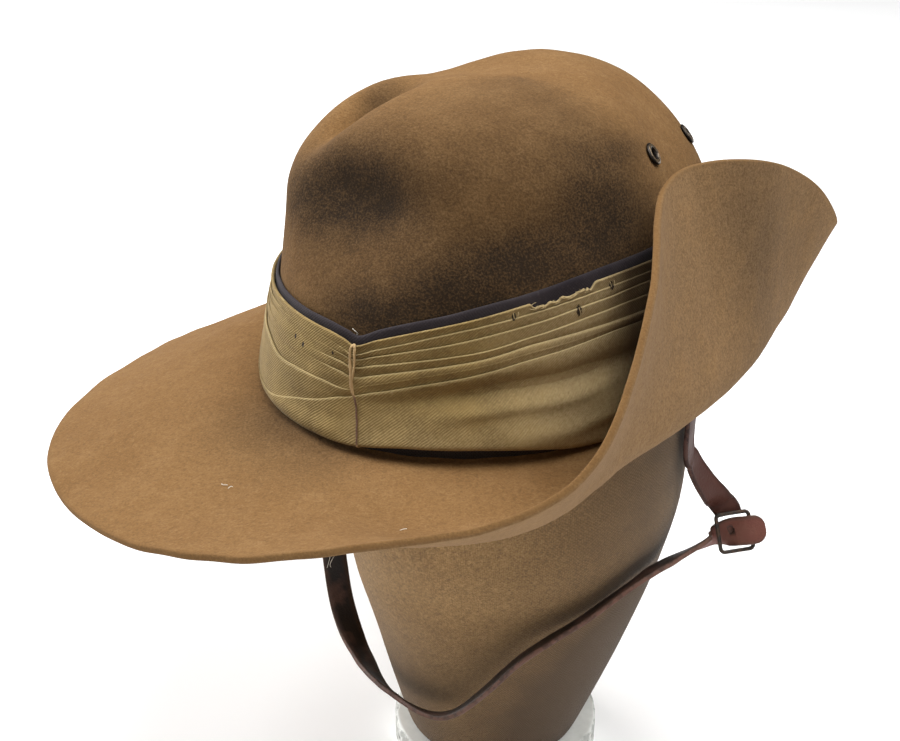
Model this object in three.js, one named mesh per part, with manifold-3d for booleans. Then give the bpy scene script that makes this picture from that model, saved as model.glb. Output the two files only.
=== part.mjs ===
import * as THREE from 'three';
import { mergeVertices } from 'three/addons/utils/BufferGeometryUtils.js';
import Module from 'manifold-3d';

// All sizes are millimetres. The hat's own frame has its origin in the middle of the head opening,
// at the brim line; the front of the hat faces -Y and the wearer's left, the turned-up side, is +X.
// Angles round the head run from the wearer's left (0) over the back (90) and the right (180).
const HAT_HEIGHT = 198;
const HEAD_HALF_LENGTH = 99;
const HEAD_HALF_WIDTH = 82;
const FELT_THICKNESS = 2.5;
const BRIM_BEND = 31.3;
const GAP = 0.3;

// Points round a ring: they start at the front V of the band and stand closest at the brim's front fold.
const ROUND_STEPS = 64;
const CLOSEST_ANGLE = -30;
const CLOSER = 0.35;
const BRIM_STEPS = 7;
const CROWN_STEPS = 2;

// Brim, a row per station: width of the felt from the brim line to the cut edge, the stretch that stays
// level before the bend, and the slope reached after the bend, up positive.
const BRIM_STATIONS = [
  { angle: -180, width: 97, level: 0, slope: -30 },
  { angle: -150, width: 92, level: 0, slope: -24.5 },
  { angle: -120, width: 88.5, level: 0, slope: -14.5 },
  { angle: -90, width: 87.5, level: 4, slope: -2 },
  { angle: -75, width: 88.5, level: 21, slope: 11 },
  { angle: -60, width: 92, level: 38, slope: 35 },
  { angle: -45, width: 97, level: 30, slope: 46 },
  { angle: -30, width: 100, level: 13, slope: 81 },
  { angle: -15, width: 103, level: 5, slope: 103 },
  { angle: 0, width: 105, level: 1, slope: 106 },
  { angle: 15, width: 101, level: 0, slope: 94 },
  { angle: 30, width: 88, level: 1, slope: 84 },
  { angle: 45, width: 71, level: 2, slope: 67 },
  { angle: 60, width: 68, level: 1, slope: 46 },
  { angle: 75, width: 70, level: 0, slope: 25 },
  { angle: 90, width: 75, level: 0, slope: -4 },
  { angle: 120, width: 80, level: 0, slope: -26 },
  { angle: 150, width: 86, level: 0, slope: -36 },
];

// Crown before it is dented, a row per level from the brim line to the top.
const CROWN_LEVELS = [
  { height: 0, halfLength: 99, halfWidth: 82 },
  { height: 28, halfLength: 95.3, halfWidth: 78.3 },
  { height: 56, halfLength: 90.8, halfWidth: 74.8 },
  { height: 78, halfLength: 84.8, halfWidth: 69.8 },
  { height: 94, halfLength: 75, halfWidth: 62 },
  { height: 105, halfLength: 59.4, halfWidth: 49.5 },
  { height: 110.5, halfLength: 36, halfWidth: 30 },
  { height: 112, halfLength: 12, halfWidth: 10 },
];
const CROWN_TOP = 112.2;

// Dents and swellings of the crown, a row each: middle, heading of the long way, reach along and across
// it, reach up and down, depth (negative swells out), and how far the push points down: 90 straight down,
// 0 level towards the middle of the crown.
const DENTS = [
  { x: -34, y: -39, z: 108, heading: 86, along: 22, across: 11, up: 60, down: 60, depth: 14.6, dip: 90 },
  { x: -33, y: 12, z: 112, heading: 86, along: 25, across: 35, up: 60, down: 40, depth: 6.4, dip: 90 },
  { x: -6, y: -86, z: 82, heading: 0, along: 36, across: 40, up: 16, down: 23, depth: 15.4, dip: 10 },
  { x: -43, y: -69, z: 84, heading: 130, along: 32, across: 29, up: 24, down: 19, depth: -6.2, dip: 0 },
  { x: 56, y: -46, z: 76, heading: -40, along: 40, across: 40, up: 16, down: 12, depth: 4, dip: 0 },
  { x: 52, y: 39, z: 99, heading: -40, along: 43, across: 25, up: 40, down: 27, depth: 9.5, dip: 31 },
  { x: -64, y: 20, z: 88, heading: 90, along: 34, across: 30, up: 16, down: 16, depth: 9, dip: 20 },
];

// Edges of the bands, a row per station: top of the khaki cloth, its lower edge, both above the brim line.
const BAND_EDGES = [
  { angle: -180, top: 42, foot: 3 },
  { angle: -150, top: 40.5, foot: 3 },
  { angle: -128, top: 41, foot: 3 },
  { angle: -110, top: 42, foot: 3 },
  { angle: -91, top: 41.4, foot: 3 },
  { angle: -85.5, top: 40.2, foot: 3 },
  { angle: -82, top: 38.7, foot: 3 },
  { angle: -76, top: 42.4, foot: 3 },
  { angle: -66, top: 47.2, foot: 3 },
  { angle: -50, top: 53.2, foot: 3 },
  { angle: -40, top: 56.6, foot: 3 },
  { angle: -23, top: 60.7, foot: 3 },
  { angle: -5, top: 62, foot: 4.4 },
  { angle: 10, top: 62, foot: 4.8 },
  { angle: 45, top: 60, foot: 4.7 },
  { angle: 90, top: 55, foot: 3.2 },
  { angle: 135, top: 48, foot: 3 },
];
const V_ANGLE = -82;
const NAVY_THICKNESS = 1;
const NAVY_SHOWS_ABOVE = 3.5;
const NAVY_SHOWS_BELOW = 1.3;

// Khaki cloth, a row per line up its face: share of the height and how far the face stands off the
// navy band. The pairs close together are the fold edges, each fold lying behind the one below it.
const CLOTH_LINES = [
  { share: 0, off: 1.2 },
  { share: 0.06, off: 2.2 },
  { share: 0.25, off: 2.8 },
  { share: 0.55, off: 2.9 },
  { share: 0.565, off: 2.1 },
  { share: 0.665, off: 2.5 },
  { share: 0.68, off: 1.7 },
  { share: 0.755, off: 2.2 },
  { share: 0.77, off: 1.4 },
  { share: 0.845, off: 2 },
  { share: 0.86, off: 1.2 },
  { share: 0.925, off: 1.8 },
  { share: 0.94, off: 1.1 },
  { share: 1, off: 1.1 },
];

// Thong over the V, a row per bend: angle and height on the cloth, from its free end up and back down.
const THONG_RADIUS = 0.8;
const THONG_SIDES = 6;
const THONG_STEPS = 22;
const THONG = [
  { angle: -79.1, height: 4 },
  { angle: -80.5, height: 12 },
  { angle: -82, height: 20 },
  { angle: -82.6, height: 30 },
  { angle: -82.7, height: 37 },
  { angle: -82.1, height: 39 },
  { angle: -81.5, height: 37 },
  { angle: -81.2, height: 30 },
  { angle: -81.2, height: 20 },
];

// Vent eyelets: angle round the crown and row of CROWN_LEVELS with its fraction.
const EYELETS = [
  { name: 'eyelet_1', angle: 7, row: 3.9 },
  { name: 'eyelet_2', angle: 49, row: 3.3 },
  { name: 'eyelet_3', angle: 173, row: 3.9 },
  { name: 'eyelet_4', angle: 131, row: 3.3 },
];
const EYELET_HOLE = 3.1;
const EYELET_SIDES = 10;
const HOLE_SIDES = 12;
const EYELET_PROFILE = [
  { radius: 2, height: -2 },
  { radius: 2.7, height: -2 },
  { radius: 2.7, height: 0.35 },
  { radius: 4.3, height: 0.35 },
  { radius: 4.1, height: 1 },
  { radius: 3.2, height: 1.3 },
  { radius: 2, height: 0.8 },
];

// Straps: where their ends are stitched inside the head opening, then a row per bend: place, and the way
// the width points, as a bearing from +X towards +Y and a rise above the level.
const STRAP_WIDTH = 11;
const STRAP_THICKNESS = 2;
const STRAP_STEPS = 4;
const LONG_STRAP_SEAT = { angle: 194.8, top: 16, foot: 4 };
const SHORT_STRAP_SEAT = { angle: 13.8, top: 16, foot: 4 };
const LONG_STRAP = [
  { x: -77.7, y: -26, z: -40, bearing: -95, rise: 0 },
  { x: -77, y: -26.6, z: -90, bearing: -106, rise: 0 },
  { x: -74.2, y: -28.3, z: -121.2, bearing: -104, rise: 4 },
  { x: -63.5, y: -35, z: -139.7, bearing: -90, rise: 12 },
  { x: -45.2, y: -44.4, z: -150.2, bearing: -66, rise: 20 },
  { x: -15.5, y: -56, z: -151, bearing: -54, rise: 26 },
  { x: 22.1, y: -59.3, z: -139.6, bearing: -50, rise: 27 },
  { x: 52.8, y: -49.6, z: -100.9, bearing: -50, rise: 27 },
  { x: 66.9, y: -31.5, z: -86.9, bearing: -50, rise: 27 },
  { x: 76.5, y: -8, z: -76.6, bearing: -50, rise: 27 },
  { x: 82, y: 8, z: -74, bearing: -50, rise: 27 },
];
const SHORT_STRAP = [
  { x: 76.4, y: 23, z: -28.6, bearing: 108, rise: 0 },
  { x: 77.2, y: 25.9, z: -36.9, bearing: 92, rise: 4 },
  { x: 79.8, y: 29.7, z: -45.5, bearing: 70, rise: 8 },
  { x: 82.6, y: 34.6, z: -53.7, bearing: 54, rise: 8 },
];

// Slide buckle: where its middle hangs and how it faces, and the ends of the straps in its own frame,
// right along one bar, up along the other and out of its face. The widths point along one of these.
const BUCKLE = { x: 92, y: 38.5, z: -70.3, bearing: -50, rise: 27, roll: 9 };
const BUCKLE_WIDE = 15;
const BUCKLE_TALL = 17;
const BUCKLE_BAR = 1.6;
const LONG_STRAP_END = [
  { right: -15, up: -3.5, out: -4.2, widthUp: 0.45, widthOut: 0.9, width: 11 },
  { right: -11, up: -1.6, out: -3.5, widthUp: 0.85, widthOut: 0.5, width: 11 },
  { right: -7.5, up: -0.6, out: -2.8, widthUp: 1, widthOut: 0, width: 11 },
  { right: 0, up: 0, out: 0, widthUp: 1, widthOut: 0, width: 11 },
  { right: 6.7, up: 0, out: 2.6, widthUp: 1, widthOut: 0, width: 11 },
  { right: 9.3, up: 0, out: 2.7, widthUp: 1, widthOut: 0, width: 10.4 },
  { right: 11.2, up: 0, out: 2.6, widthUp: 1, widthOut: 0, width: 7.5 },
  { right: 12, up: 0, out: 2.5, widthUp: 1, widthOut: 0, width: 3.6 },
];
const SHORT_STRAP_END = [
  { right: -3.4, up: 13, out: -1.6 },
  { right: -1.3, up: 9.4, out: -2.3 },
  { right: -1, up: 6.9, out: -2.4 },
];

// Stand, a row per level above the floor.
const COLUMN_LEVELS = [
  { height: 14.3, radius: 37.5 },
  { height: 17, radius: 40.3 },
  { height: 41, radius: 48.8 },
  { height: 68, radius: 57.6 },
  { height: 95, radius: 65.6 },
  { height: 134, radius: 72.3 },
  { height: 165, radius: 75.4 },
  { height: 192, radius: 76.6 },
  { height: 212, radius: 76.6 },
  { height: 215, radius: 74 },
];
const FOOT_RADIUS = 46;
const FOOT_HEIGHT = 14;
const FOOT_ROUNDING = 1.5;
const STAND_SEGMENTS = 32;

const rad = THREE.MathUtils.degToRad;
const wrap = THREE.MathUtils.euclideanModulo;

function cubic(before, start, end, after, reachBefore, reach, reachAfter, share) {
  const slopeIn = (end - before) / (reachBefore + reach) * reach;
  const slopeOut = (after - start) / (reach + reachAfter) * reach;
  const square = share * share;
  const cube = square * share;
  return (2 * cube - 3 * square + 1) * start + (cube - 2 * square + share) * slopeIn
    + (3 * square - 2 * cube) * end + (cube - square) * slopeOut;
}

// Smooth value of a column of a table of stations that closes on itself after a full turn.
function roundTheHead(table, column, angle) {
  const count = table.length;
  const turned = wrap(angle - table[0].angle, 360) + table[0].angle;
  let row = count - 1;
  while (table[row].angle > turned) row--;
  const at = (k) => table[wrap(k, count)].angle + 360 * Math.floor(k / count);
  const value = (k) => table[wrap(k, count)][column];
  const reach = at(row + 1) - at(row);
  return cubic(value(row - 1), value(row), value(row + 1), value(row + 2),
    at(row) - at(row - 1), reach, at(row + 2) - at(row + 1), (turned - at(row)) / reach);
}

// Smooth value of a column of an open table at a row number with a fraction.
function betweenRows(table, column, rowNumber) {
  const last = table.length - 1;
  const row = Math.min(Math.floor(rowNumber), last - 1);
  const value = (k) => table[THREE.MathUtils.clamp(k, 0, last)][column];
  return cubic(value(row - 1), value(row), value(row + 1), value(row + 2), 1, 1, 1, rowNumber - row);
}

// A closed solid through rings of points; the ends close on a middle point, or the last ring on the first.
function loft(rings, startMiddle, endMiddle) {
  const corners = [];
  const count = rings[0].length;
  const joined = startMiddle ? rings.length - 1 : rings.length;
  for (let i = 0; i < joined; i++) {
    const ring = rings[i];
    const next = rings[(i + 1) % rings.length];
    for (let k = 0; k < count; k++) {
      const n = (k + 1) % count;
      corners.push(ring[k], next[k], next[n], ring[k], next[n], ring[n]);
    }
  }
  for (let k = 0; startMiddle && k < count; k++) {
    const n = (k + 1) % count;
    corners.push(startMiddle, rings[0][k], rings[0][n]);
    corners.push(endMiddle, rings.at(-1)[n], rings.at(-1)[k]);
  }
  let volume = 0;
  for (let i = 0; i < corners.length; i += 3) {
    volume += corners[i].dot(corners[i + 1].clone().cross(corners[i + 2]));
  }
  if (volume < 0) corners.reverse();
  return mergeVertices(new THREE.BufferGeometry().setFromPoints(corners), 1e-4);
}

const ANGLES = [];
for (let k = 0; k < ROUND_STEPS; k++) {
  const even = k * 360 / ROUND_STEPS;
  const squeeze = (angle) => angle - THREE.MathUtils.radToDeg(CLOSER * Math.sin(rad(angle - CLOSEST_ANGLE)));
  ANGLES.push(V_ANGLE + squeeze(V_ANGLE + even) - squeeze(V_ANGLE));
}

function outwardAt(angle) {
  const turn = rad(angle);
  const outward = new THREE.Vector3(Math.cos(turn) / HEAD_HALF_WIDTH, Math.sin(turn) / HEAD_HALF_LENGTH, 0);
  return outward.normalize();
}

function plainCrown(angle, rowNumber) {
  const turn = rad(angle);
  const level = (column) => betweenRows(CROWN_LEVELS, column, rowNumber);
  return new THREE.Vector3(
    level('halfWidth') * Math.cos(turn), level('halfLength') * Math.sin(turn), level('height'));
}

function dented(point) {
  const moved = point.clone();
  for (const dent of DENTS) {
    const away = point.clone().sub(new THREE.Vector3(dent.x, dent.y, dent.z));
    const heading = rad(dent.heading);
    const along = (away.x * Math.cos(heading) + away.y * Math.sin(heading)) / dent.along;
    const across = (away.y * Math.cos(heading) - away.x * Math.sin(heading)) / dent.across;
    const upward = away.z / (away.z > 0 ? dent.up : dent.down);
    const share = Math.exp(-along * along - across * across - upward * upward);
    const level = new THREE.Vector3(-dent.x, -dent.y, 0).normalize().multiplyScalar(Math.cos(rad(dent.dip)));
    const push = level.add(new THREE.Vector3(0, 0, -Math.sin(rad(dent.dip))));
    moved.addScaledVector(push, dent.depth * share);
  }
  return moved;
}

function crownPoint(angle, rowNumber) {
  return dented(plainCrown(angle, rowNumber));
}

function brimPoint(angle, share) {
  const turn = rad(angle);
  const width = roundTheHead(BRIM_STATIONS, 'width', angle);
  const slope = rad(roundTheHead(BRIM_STATIONS, 'slope', angle));
  const level = Math.max(roundTheHead(BRIM_STATIONS, 'level', angle), 0);
  const reach = share * width;
  const flat = Math.min(reach, level);
  const bent = THREE.MathUtils.clamp(reach - level, 0, BRIM_BEND);
  const rest = reach - flat - bent;
  const curl = Math.abs(slope) < 1e-4 ? 1e-6 : slope / BRIM_BEND;
  const out = flat + Math.sin(curl * bent) / curl + rest * Math.cos(slope);
  const up = (1 - Math.cos(curl * bent)) / curl + rest * Math.sin(slope);
  const start = new THREE.Vector3(HEAD_HALF_WIDTH * Math.cos(turn), HEAD_HALF_LENGTH * Math.sin(turn), up);
  return start.addScaledVector(outwardAt(angle), out);
}

// Felt: the middle of the cloth, ring by ring from the top of the crown to the cut edge of the brim.
const middleRings = [];
const crownRows = (CROWN_LEVELS.length - 1) * CROWN_STEPS;
for (let i = crownRows; i >= 0; i--) {
  middleRings.push(ANGLES.map((angle) => crownPoint(angle, i / CROWN_STEPS)));
}
for (let i = 1; i <= BRIM_STEPS; i++) {
  middleRings.push(ANGLES.map((angle) => brimPoint(angle, i / BRIM_STEPS)));
}

function feltNormal(i, k) {
  const down = middleRings[Math.min(i + 1, middleRings.length - 1)][k].clone();
  down.sub(middleRings[Math.max(i - 1, 0)][k]);
  const round = middleRings[i][(k + 1) % ROUND_STEPS].clone();
  round.sub(middleRings[i][(k + ROUND_STEPS - 1) % ROUND_STEPS]);
  return down.cross(round).normalize();
}

function feltFace(side) {
  return middleRings.map((ring, i) => ring.map(
    (point, k) => point.clone().addScaledVector(feltNormal(i, k), side * FELT_THICKNESS / 2)));
}

const crownTop = dented(new THREE.Vector3(0, 0, CROWN_TOP));
const half = new THREE.Vector3(0, 0, FELT_THICKNESS / 2);
const wholeFelt = loft(
  [...feltFace(1), ...feltFace(-1).reverse()], crownTop.clone().add(half), crownTop.clone().sub(half));

// Bands: rings that stand off the crown wall, each point at an angle, a height and a distance.
function wallPoint(angle, height, off) {
  let low = 0;
  let high = CROWN_LEVELS.length - 1;
  for (let i = 0; i < 30; i++) {
    const middle = (low + high) / 2;
    if (betweenRows(CROWN_LEVELS, 'height', middle) < height) low = middle;
    else high = middle;
  }
  return plainCrown(angle, low).addScaledVector(outwardAt(angle), off);
}

const bandTop = (angle) => roundTheHead(BAND_EDGES, 'top', angle);
const bandFoot = (angle) => roundTheHead(BAND_EDGES, 'foot', angle);
const navyOff = FELT_THICKNESS / 2 + GAP;
const clothOff = navyOff + NAVY_THICKNESS + GAP;

function navyRing(share, off) {
  return ANGLES.map((angle) => {
    const low = bandFoot(angle) - NAVY_SHOWS_BELOW;
    const high = bandTop(angle) + NAVY_SHOWS_ABOVE;
    return wallPoint(angle, THREE.MathUtils.lerp(low, high, share), off);
  });
}

function clothPoint(angle, share, off) {
  return wallPoint(angle, bandFoot(angle) + share * (bandTop(angle) - bandFoot(angle)), off);
}

const navyShares = [0, 0.5, 1];
const navyBand = loft([
  ...navyShares.map((share) => navyRing(share, navyOff + NAVY_THICKNESS)),
  ...navyShares.toReversed().map((share) => navyRing(share, navyOff)),
]);

const clothBackShares = [1, 0.7, 0.35, 0];
const clothBand = loft([
  ...CLOTH_LINES.map((line) => ANGLES.map((angle) => clothPoint(angle, line.share, clothOff + line.off))),
  ...clothBackShares.map((share) => ANGLES.map((angle) => clothPoint(angle, share, clothOff))),
]);

// Thong: a round cord laid over the cloth, up from its free end and back.
function clothFace(angle, height) {
  const share = (height - bandFoot(angle)) / (bandTop(angle) - bandFoot(angle));
  let line = 1;
  while (line < CLOTH_LINES.length - 1 && CLOTH_LINES[line].share < share) line++;
  const from = CLOTH_LINES[line - 1];
  const to = CLOTH_LINES[line];
  const part = THREE.MathUtils.clamp((share - from.share) / (to.share - from.share), 0, 1);
  return clothOff + from.off + part * (to.off - from.off);
}
const thongPath = new THREE.CatmullRomCurve3(THONG.map(
  (bend) => wallPoint(bend.angle, bend.height, clothFace(bend.angle, bend.height) + THONG_RADIUS + 2 * GAP)));
const thongRound = new THREE.EllipseCurve(0, 0, THONG_RADIUS, THONG_RADIUS).getPoints(THONG_SIDES).slice(1);
const thong = new THREE.ExtrudeGeometry(
  new THREE.Shape(thongRound), { steps: THONG_STEPS, extrudePath: thongPath });

// Eyelets, seated in holes through the crown.
const wasm = await Module();
wasm.setup();

function toManifold(geometry) {
  const bare = geometry.clone();
  bare.deleteAttribute('normal');
  bare.deleteAttribute('uv');
  const merged = mergeVertices(bare, 1e-4);
  return new wasm.Manifold(new wasm.Mesh({
    numProp: 3,
    vertProperties: merged.attributes.position.array,
    triVerts: new Uint32Array(merged.index.array),
  }));
}

function fromManifold(solid) {
  const mesh = solid.getMesh();
  const geometry = new THREE.BufferGeometry();
  geometry.setAttribute('position', new THREE.Float32BufferAttribute(mesh.vertProperties, 3));
  geometry.setIndex(new THREE.Uint32BufferAttribute(mesh.triVerts, 1));
  return geometry;
}

function eyeletSeat(eyelet) {
  const at = crownPoint(eyelet.angle, eyelet.row);
  const round = crownPoint(eyelet.angle + 2, eyelet.row).sub(crownPoint(eyelet.angle - 2, eyelet.row));
  const down = crownPoint(eyelet.angle, eyelet.row - 0.1).sub(crownPoint(eyelet.angle, eyelet.row + 0.1));
  const normal = down.cross(round).normalize();
  return { at: at.addScaledVector(normal, FELT_THICKNESS / 2), normal };
}

let felt = toManifold(wholeFelt);
const eyeletMeshes = [];
const eyeletShape = [...EYELET_PROFILE, EYELET_PROFILE[0]].map(
  (row) => new THREE.Vector2(row.radius, row.height));
const eyeletRing = new THREE.LatheGeometry(eyeletShape, EYELET_SIDES);
for (const eyelet of EYELETS) {
  const seat = eyeletSeat(eyelet);
  const upright = new THREE.Quaternion().setFromUnitVectors(new THREE.Vector3(0, 1, 0), seat.normal);
  const drill = new THREE.CylinderGeometry(EYELET_HOLE, EYELET_HOLE, 5 * FELT_THICKNESS, HOLE_SIDES);
  drill.applyQuaternion(upright).translate(seat.at.x, seat.at.y, seat.at.z);
  felt = felt.subtract(toManifold(drill));
  const mesh = new THREE.Mesh(eyeletRing, new THREE.MeshStandardMaterial({ color: '#2a2622' }));
  mesh.name = eyelet.name;
  mesh.position.copy(seat.at);
  mesh.quaternion.copy(upright);
  eyeletMeshes.push(mesh);
}

// Straps: flat leather swept along its bends.
function pointing(bearing, rise) {
  const level = Math.cos(rad(rise));
  return new THREE.Vector3(
    level * Math.cos(rad(bearing)), level * Math.sin(rad(bearing)), Math.sin(rad(rise)));
}

const buckleOut = pointing(BUCKLE.bearing, BUCKLE.rise);
const buckleRight = new THREE.Vector3(0, 0, 1).cross(buckleOut).normalize();
buckleRight.applyAxisAngle(buckleOut, rad(BUCKLE.roll));
const buckleUp = buckleOut.clone().cross(buckleRight);
const buckleFrame = new THREE.Matrix4().makeBasis(buckleRight, buckleUp, buckleOut);
buckleFrame.setPosition(BUCKLE.x, BUCKLE.y, BUCKLE.z);

function section(at, way, width) {
  return { x: at.x, y: at.y, z: at.z, wayX: way.x, wayY: way.y, wayZ: way.z, width };
}

function seatRow(angle, height) {
  const at = wallPoint(angle, height, -(FELT_THICKNESS + STRAP_THICKNESS) / 2 - 2 * GAP);
  return section(at, new THREE.Vector3(0, 0, 1).cross(outwardAt(angle)), STRAP_WIDTH);
}

function strapRow(row) {
  return section(row, pointing(row.bearing, row.rise), STRAP_WIDTH);
}

function buckleRow(row, way, width) {
  const at = new THREE.Vector3(row.right, row.up, row.out).applyMatrix4(buckleFrame);
  return section(at, way.clone().transformDirection(buckleFrame), width);
}

function strap(table) {
  const read = (rowNumber, columns) => new THREE.Vector3(
    ...columns.map((column) => betweenRows(table, column, rowNumber)));
  const place = (rowNumber) => read(rowNumber, ['x', 'y', 'z']);
  const last = table.length - 1;
  const rings = [];
  for (let i = 0; i <= last * STRAP_STEPS; i++) {
    const rowNumber = i / STRAP_STEPS;
    const ahead = place(Math.min(rowNumber + 0.05, last));
    ahead.sub(place(Math.max(rowNumber - 0.05, 0))).normalize();
    const way = read(rowNumber, ['wayX', 'wayY', 'wayZ']);
    way.addScaledVector(ahead, -way.dot(ahead)).normalize();
    way.multiplyScalar(betweenRows(table, 'width', rowNumber) / 2);
    const through = ahead.clone().cross(way).normalize().multiplyScalar(STRAP_THICKNESS / 2);
    const middle = place(rowNumber);
    rings.push([[1, 1], [-1, 1], [-1, -1], [1, -1]].map(
      ([side, face]) => middle.clone().addScaledVector(way, side).addScaledVector(through, face)));
  }
  return loft(rings, place(0), place(last));
}

const longStrap = strap([
  seatRow(LONG_STRAP_SEAT.angle, LONG_STRAP_SEAT.top),
  seatRow(LONG_STRAP_SEAT.angle, LONG_STRAP_SEAT.foot),
  ...LONG_STRAP.map(strapRow),
  ...LONG_STRAP_END.map((row) => buckleRow(row, new THREE.Vector3(0, row.widthUp, row.widthOut), row.width)),
]);
const shortStrap = strap([
  seatRow(SHORT_STRAP_SEAT.angle, SHORT_STRAP_SEAT.top),
  seatRow(SHORT_STRAP_SEAT.angle, SHORT_STRAP_SEAT.foot),
  ...SHORT_STRAP.map(strapRow),
  ...SHORT_STRAP_END.map((row) => buckleRow(row, new THREE.Vector3(1, 0, 0), STRAP_WIDTH)),
]);

function rectangle(shape, wide, tall) {
  shape.moveTo(-wide / 2, -tall / 2);
  shape.lineTo(wide / 2, -tall / 2);
  shape.lineTo(wide / 2, tall / 2);
  shape.lineTo(-wide / 2, tall / 2);
  shape.closePath();
  return shape;
}
const buckleShape = rectangle(new THREE.Shape(), BUCKLE_WIDE, BUCKLE_TALL);
const buckleHole = rectangle(new THREE.Path(), BUCKLE_WIDE - 2 * BUCKLE_BAR, BUCKLE_TALL - 2 * BUCKLE_BAR);
buckleShape.holes.push(buckleHole);
const buckle = new THREE.ExtrudeGeometry(buckleShape, { depth: BUCKLE_BAR, bevelEnabled: false });
buckle.translate(0, 0, -BUCKLE_BAR / 2);

function turned(rows) {
  const profile = [[0, rows[0][1]], ...rows, [0, rows.at(-1)[1]]];
  const points = profile.map(([radius, height]) => new THREE.Vector2(radius, height));
  return new THREE.LatheGeometry(points, STAND_SEGMENTS).rotateX(Math.PI / 2);
}
const column = turned(COLUMN_LEVELS.map((row) => [row.radius, row.height]));
const foot = turned([
  [FOOT_RADIUS - FOOT_ROUNDING, 0],
  [FOOT_RADIUS, FOOT_ROUNDING],
  [FOOT_RADIUS, FOOT_HEIGHT - FOOT_ROUNDING],
  [FOOT_RADIUS - FOOT_ROUNDING, FOOT_HEIGHT],
]);

function piece(name, geometry, color, roughness = 0.9, metalness = 0) {
  const mesh = new THREE.Mesh(geometry, new THREE.MeshStandardMaterial({ color, roughness, metalness }));
  mesh.name = name;
  return mesh;
}

const hat = new THREE.Group();
hat.position.z = HAT_HEIGHT;
hat.add(piece('felt_body', fromManifold(felt), '#7a5a3a'));
hat.add(piece('under_band', navyBand, '#2c2a38'));
hat.add(piece('puggaree', clothBand, '#8a7a4e'));
hat.add(piece('puggaree_tie', thong, '#a8885a'));
hat.add(piece('strap_long', longStrap, '#3a2620', 0.6));
hat.add(piece('strap_short', shortStrap, '#5c3226', 0.6));
const buckleMesh = piece('buckle', buckle, '#3a3630', 0.5, 0.8);
buckleMesh.applyMatrix4(buckleFrame);
hat.add(buckleMesh);
hat.add(...eyeletMeshes);

const part = new THREE.Group();
part.add(hat);
part.add(piece('stand_column', column, '#6b5238'));
part.add(piece('stand_foot', foot, '#d8d6d0'));
export default part;
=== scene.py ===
import math

import bmesh
import bpy
import numpy as np
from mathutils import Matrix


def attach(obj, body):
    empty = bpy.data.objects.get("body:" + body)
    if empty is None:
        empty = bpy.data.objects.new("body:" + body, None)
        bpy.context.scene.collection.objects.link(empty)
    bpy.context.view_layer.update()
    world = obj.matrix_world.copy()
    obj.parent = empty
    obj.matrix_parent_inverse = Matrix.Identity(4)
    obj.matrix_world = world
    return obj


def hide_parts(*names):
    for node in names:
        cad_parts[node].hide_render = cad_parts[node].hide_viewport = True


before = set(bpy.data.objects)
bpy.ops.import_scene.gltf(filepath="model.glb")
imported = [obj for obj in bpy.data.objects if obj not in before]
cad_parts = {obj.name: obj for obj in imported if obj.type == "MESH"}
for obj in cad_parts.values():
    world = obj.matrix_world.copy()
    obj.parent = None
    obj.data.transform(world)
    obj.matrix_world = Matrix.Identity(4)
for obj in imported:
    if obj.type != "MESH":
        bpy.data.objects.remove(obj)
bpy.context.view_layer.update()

# Stand foot: a flat turned wooden disc under the display stand.
# It is painted white, and the paint has chipped to grey round the rim. The column is screwed to it.
MM = 0.001
FOOT_RADIUS = 46
FOOT_HEIGHT = 14
FOOT_ROUNDING = 1.5
FOOT_RIM = 7
FOOT_DIP = 0.003  # share of the radius
FOOT_STEPS = 160
FOOT_WHITE = (0.80, 0.81, 0.77, 1)
FOOT_SMUDGED = (0.62, 0.63, 0.59, 1)
FOOT_GREY = (0.42, 0.43, 0.40, 1)
FOOT_BARE = (0.10, 0.10, 0.085, 1)


# A shader value: it adds, multiplies and spreads out like a plain number.
class Value:
    def __init__(self, socket):
        self.socket = socket

    def __add__(self, other):
        return maths("ADD", self, other)

    def __sub__(self, other):
        return maths("SUBTRACT", self, other)

    def __rsub__(self, other):
        return maths("SUBTRACT", other, self)

    def __mul__(self, other):
        return maths("MULTIPLY", self, other)

    def __truediv__(self, other):
        return maths("DIVIDE", self, other)

    def __rtruediv__(self, other):
        return maths("DIVIDE", other, self)

    def spread(self, low, high, start=0, end=1):
        inputs = {0: self, 1: low, 2: high, 3: start, 4: end}
        return add_node(self.socket.id_data, "ShaderNodeMapRange", inputs)


def feed(socket, value):
    if isinstance(value, Value):
        socket.id_data.links.new(value.socket, socket)
    else:
        socket.default_value = value


# A node of a material, a world or a node group, read at one of its outputs.
def add_node(owner, kind, inputs=None, output=0, **properties):
    node = getattr(owner, "node_tree", owner).nodes.new(kind)
    for name, value in properties.items():
        setattr(node, name, value)
    for socket, value in (inputs or {}).items():
        feed(node.inputs[socket], value)
    return Value(node.outputs[output])


def maths(operation, first, second=0):
    tree = (first if isinstance(first, Value) else second).socket.id_data
    return add_node(tree, "ShaderNodeMath", {0: first, 1: second}, operation=operation)


def coated(colour, *coats):
    for share, coat in coats:
        inputs = {0: share, 6: colour, 7: coat}
        colour = add_node(share.socket.id_data, "ShaderNodeMix", inputs, 2, data_type="RGBA")
    return colour


def marked(owner, mark):
    return add_node(owner, "ShaderNodeAttribute", output="Fac", attribute_name=mark)


def noise(owner, size_mm, detail=2, roughness=0.55, stretch=(1, 1, 1)):
    place = add_node(owner, "ShaderNodeTexCoord", output="Object")
    scaled = add_node(owner, "ShaderNodeMapping", {"Vector": place, "Scale": stretch})
    return add_node(owner, "ShaderNodeTexNoise", {
        "Vector": scaled, "Scale": 1 / MM / size_mm, "Detail": detail, "Roughness": roughness})


def raised(height, distance_mm, strength=1):
    inputs = {"Height": height, "Distance": distance_mm * MM, "Strength": strength}
    return add_node(height.socket.id_data, "ShaderNodeBump", inputs)


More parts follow.
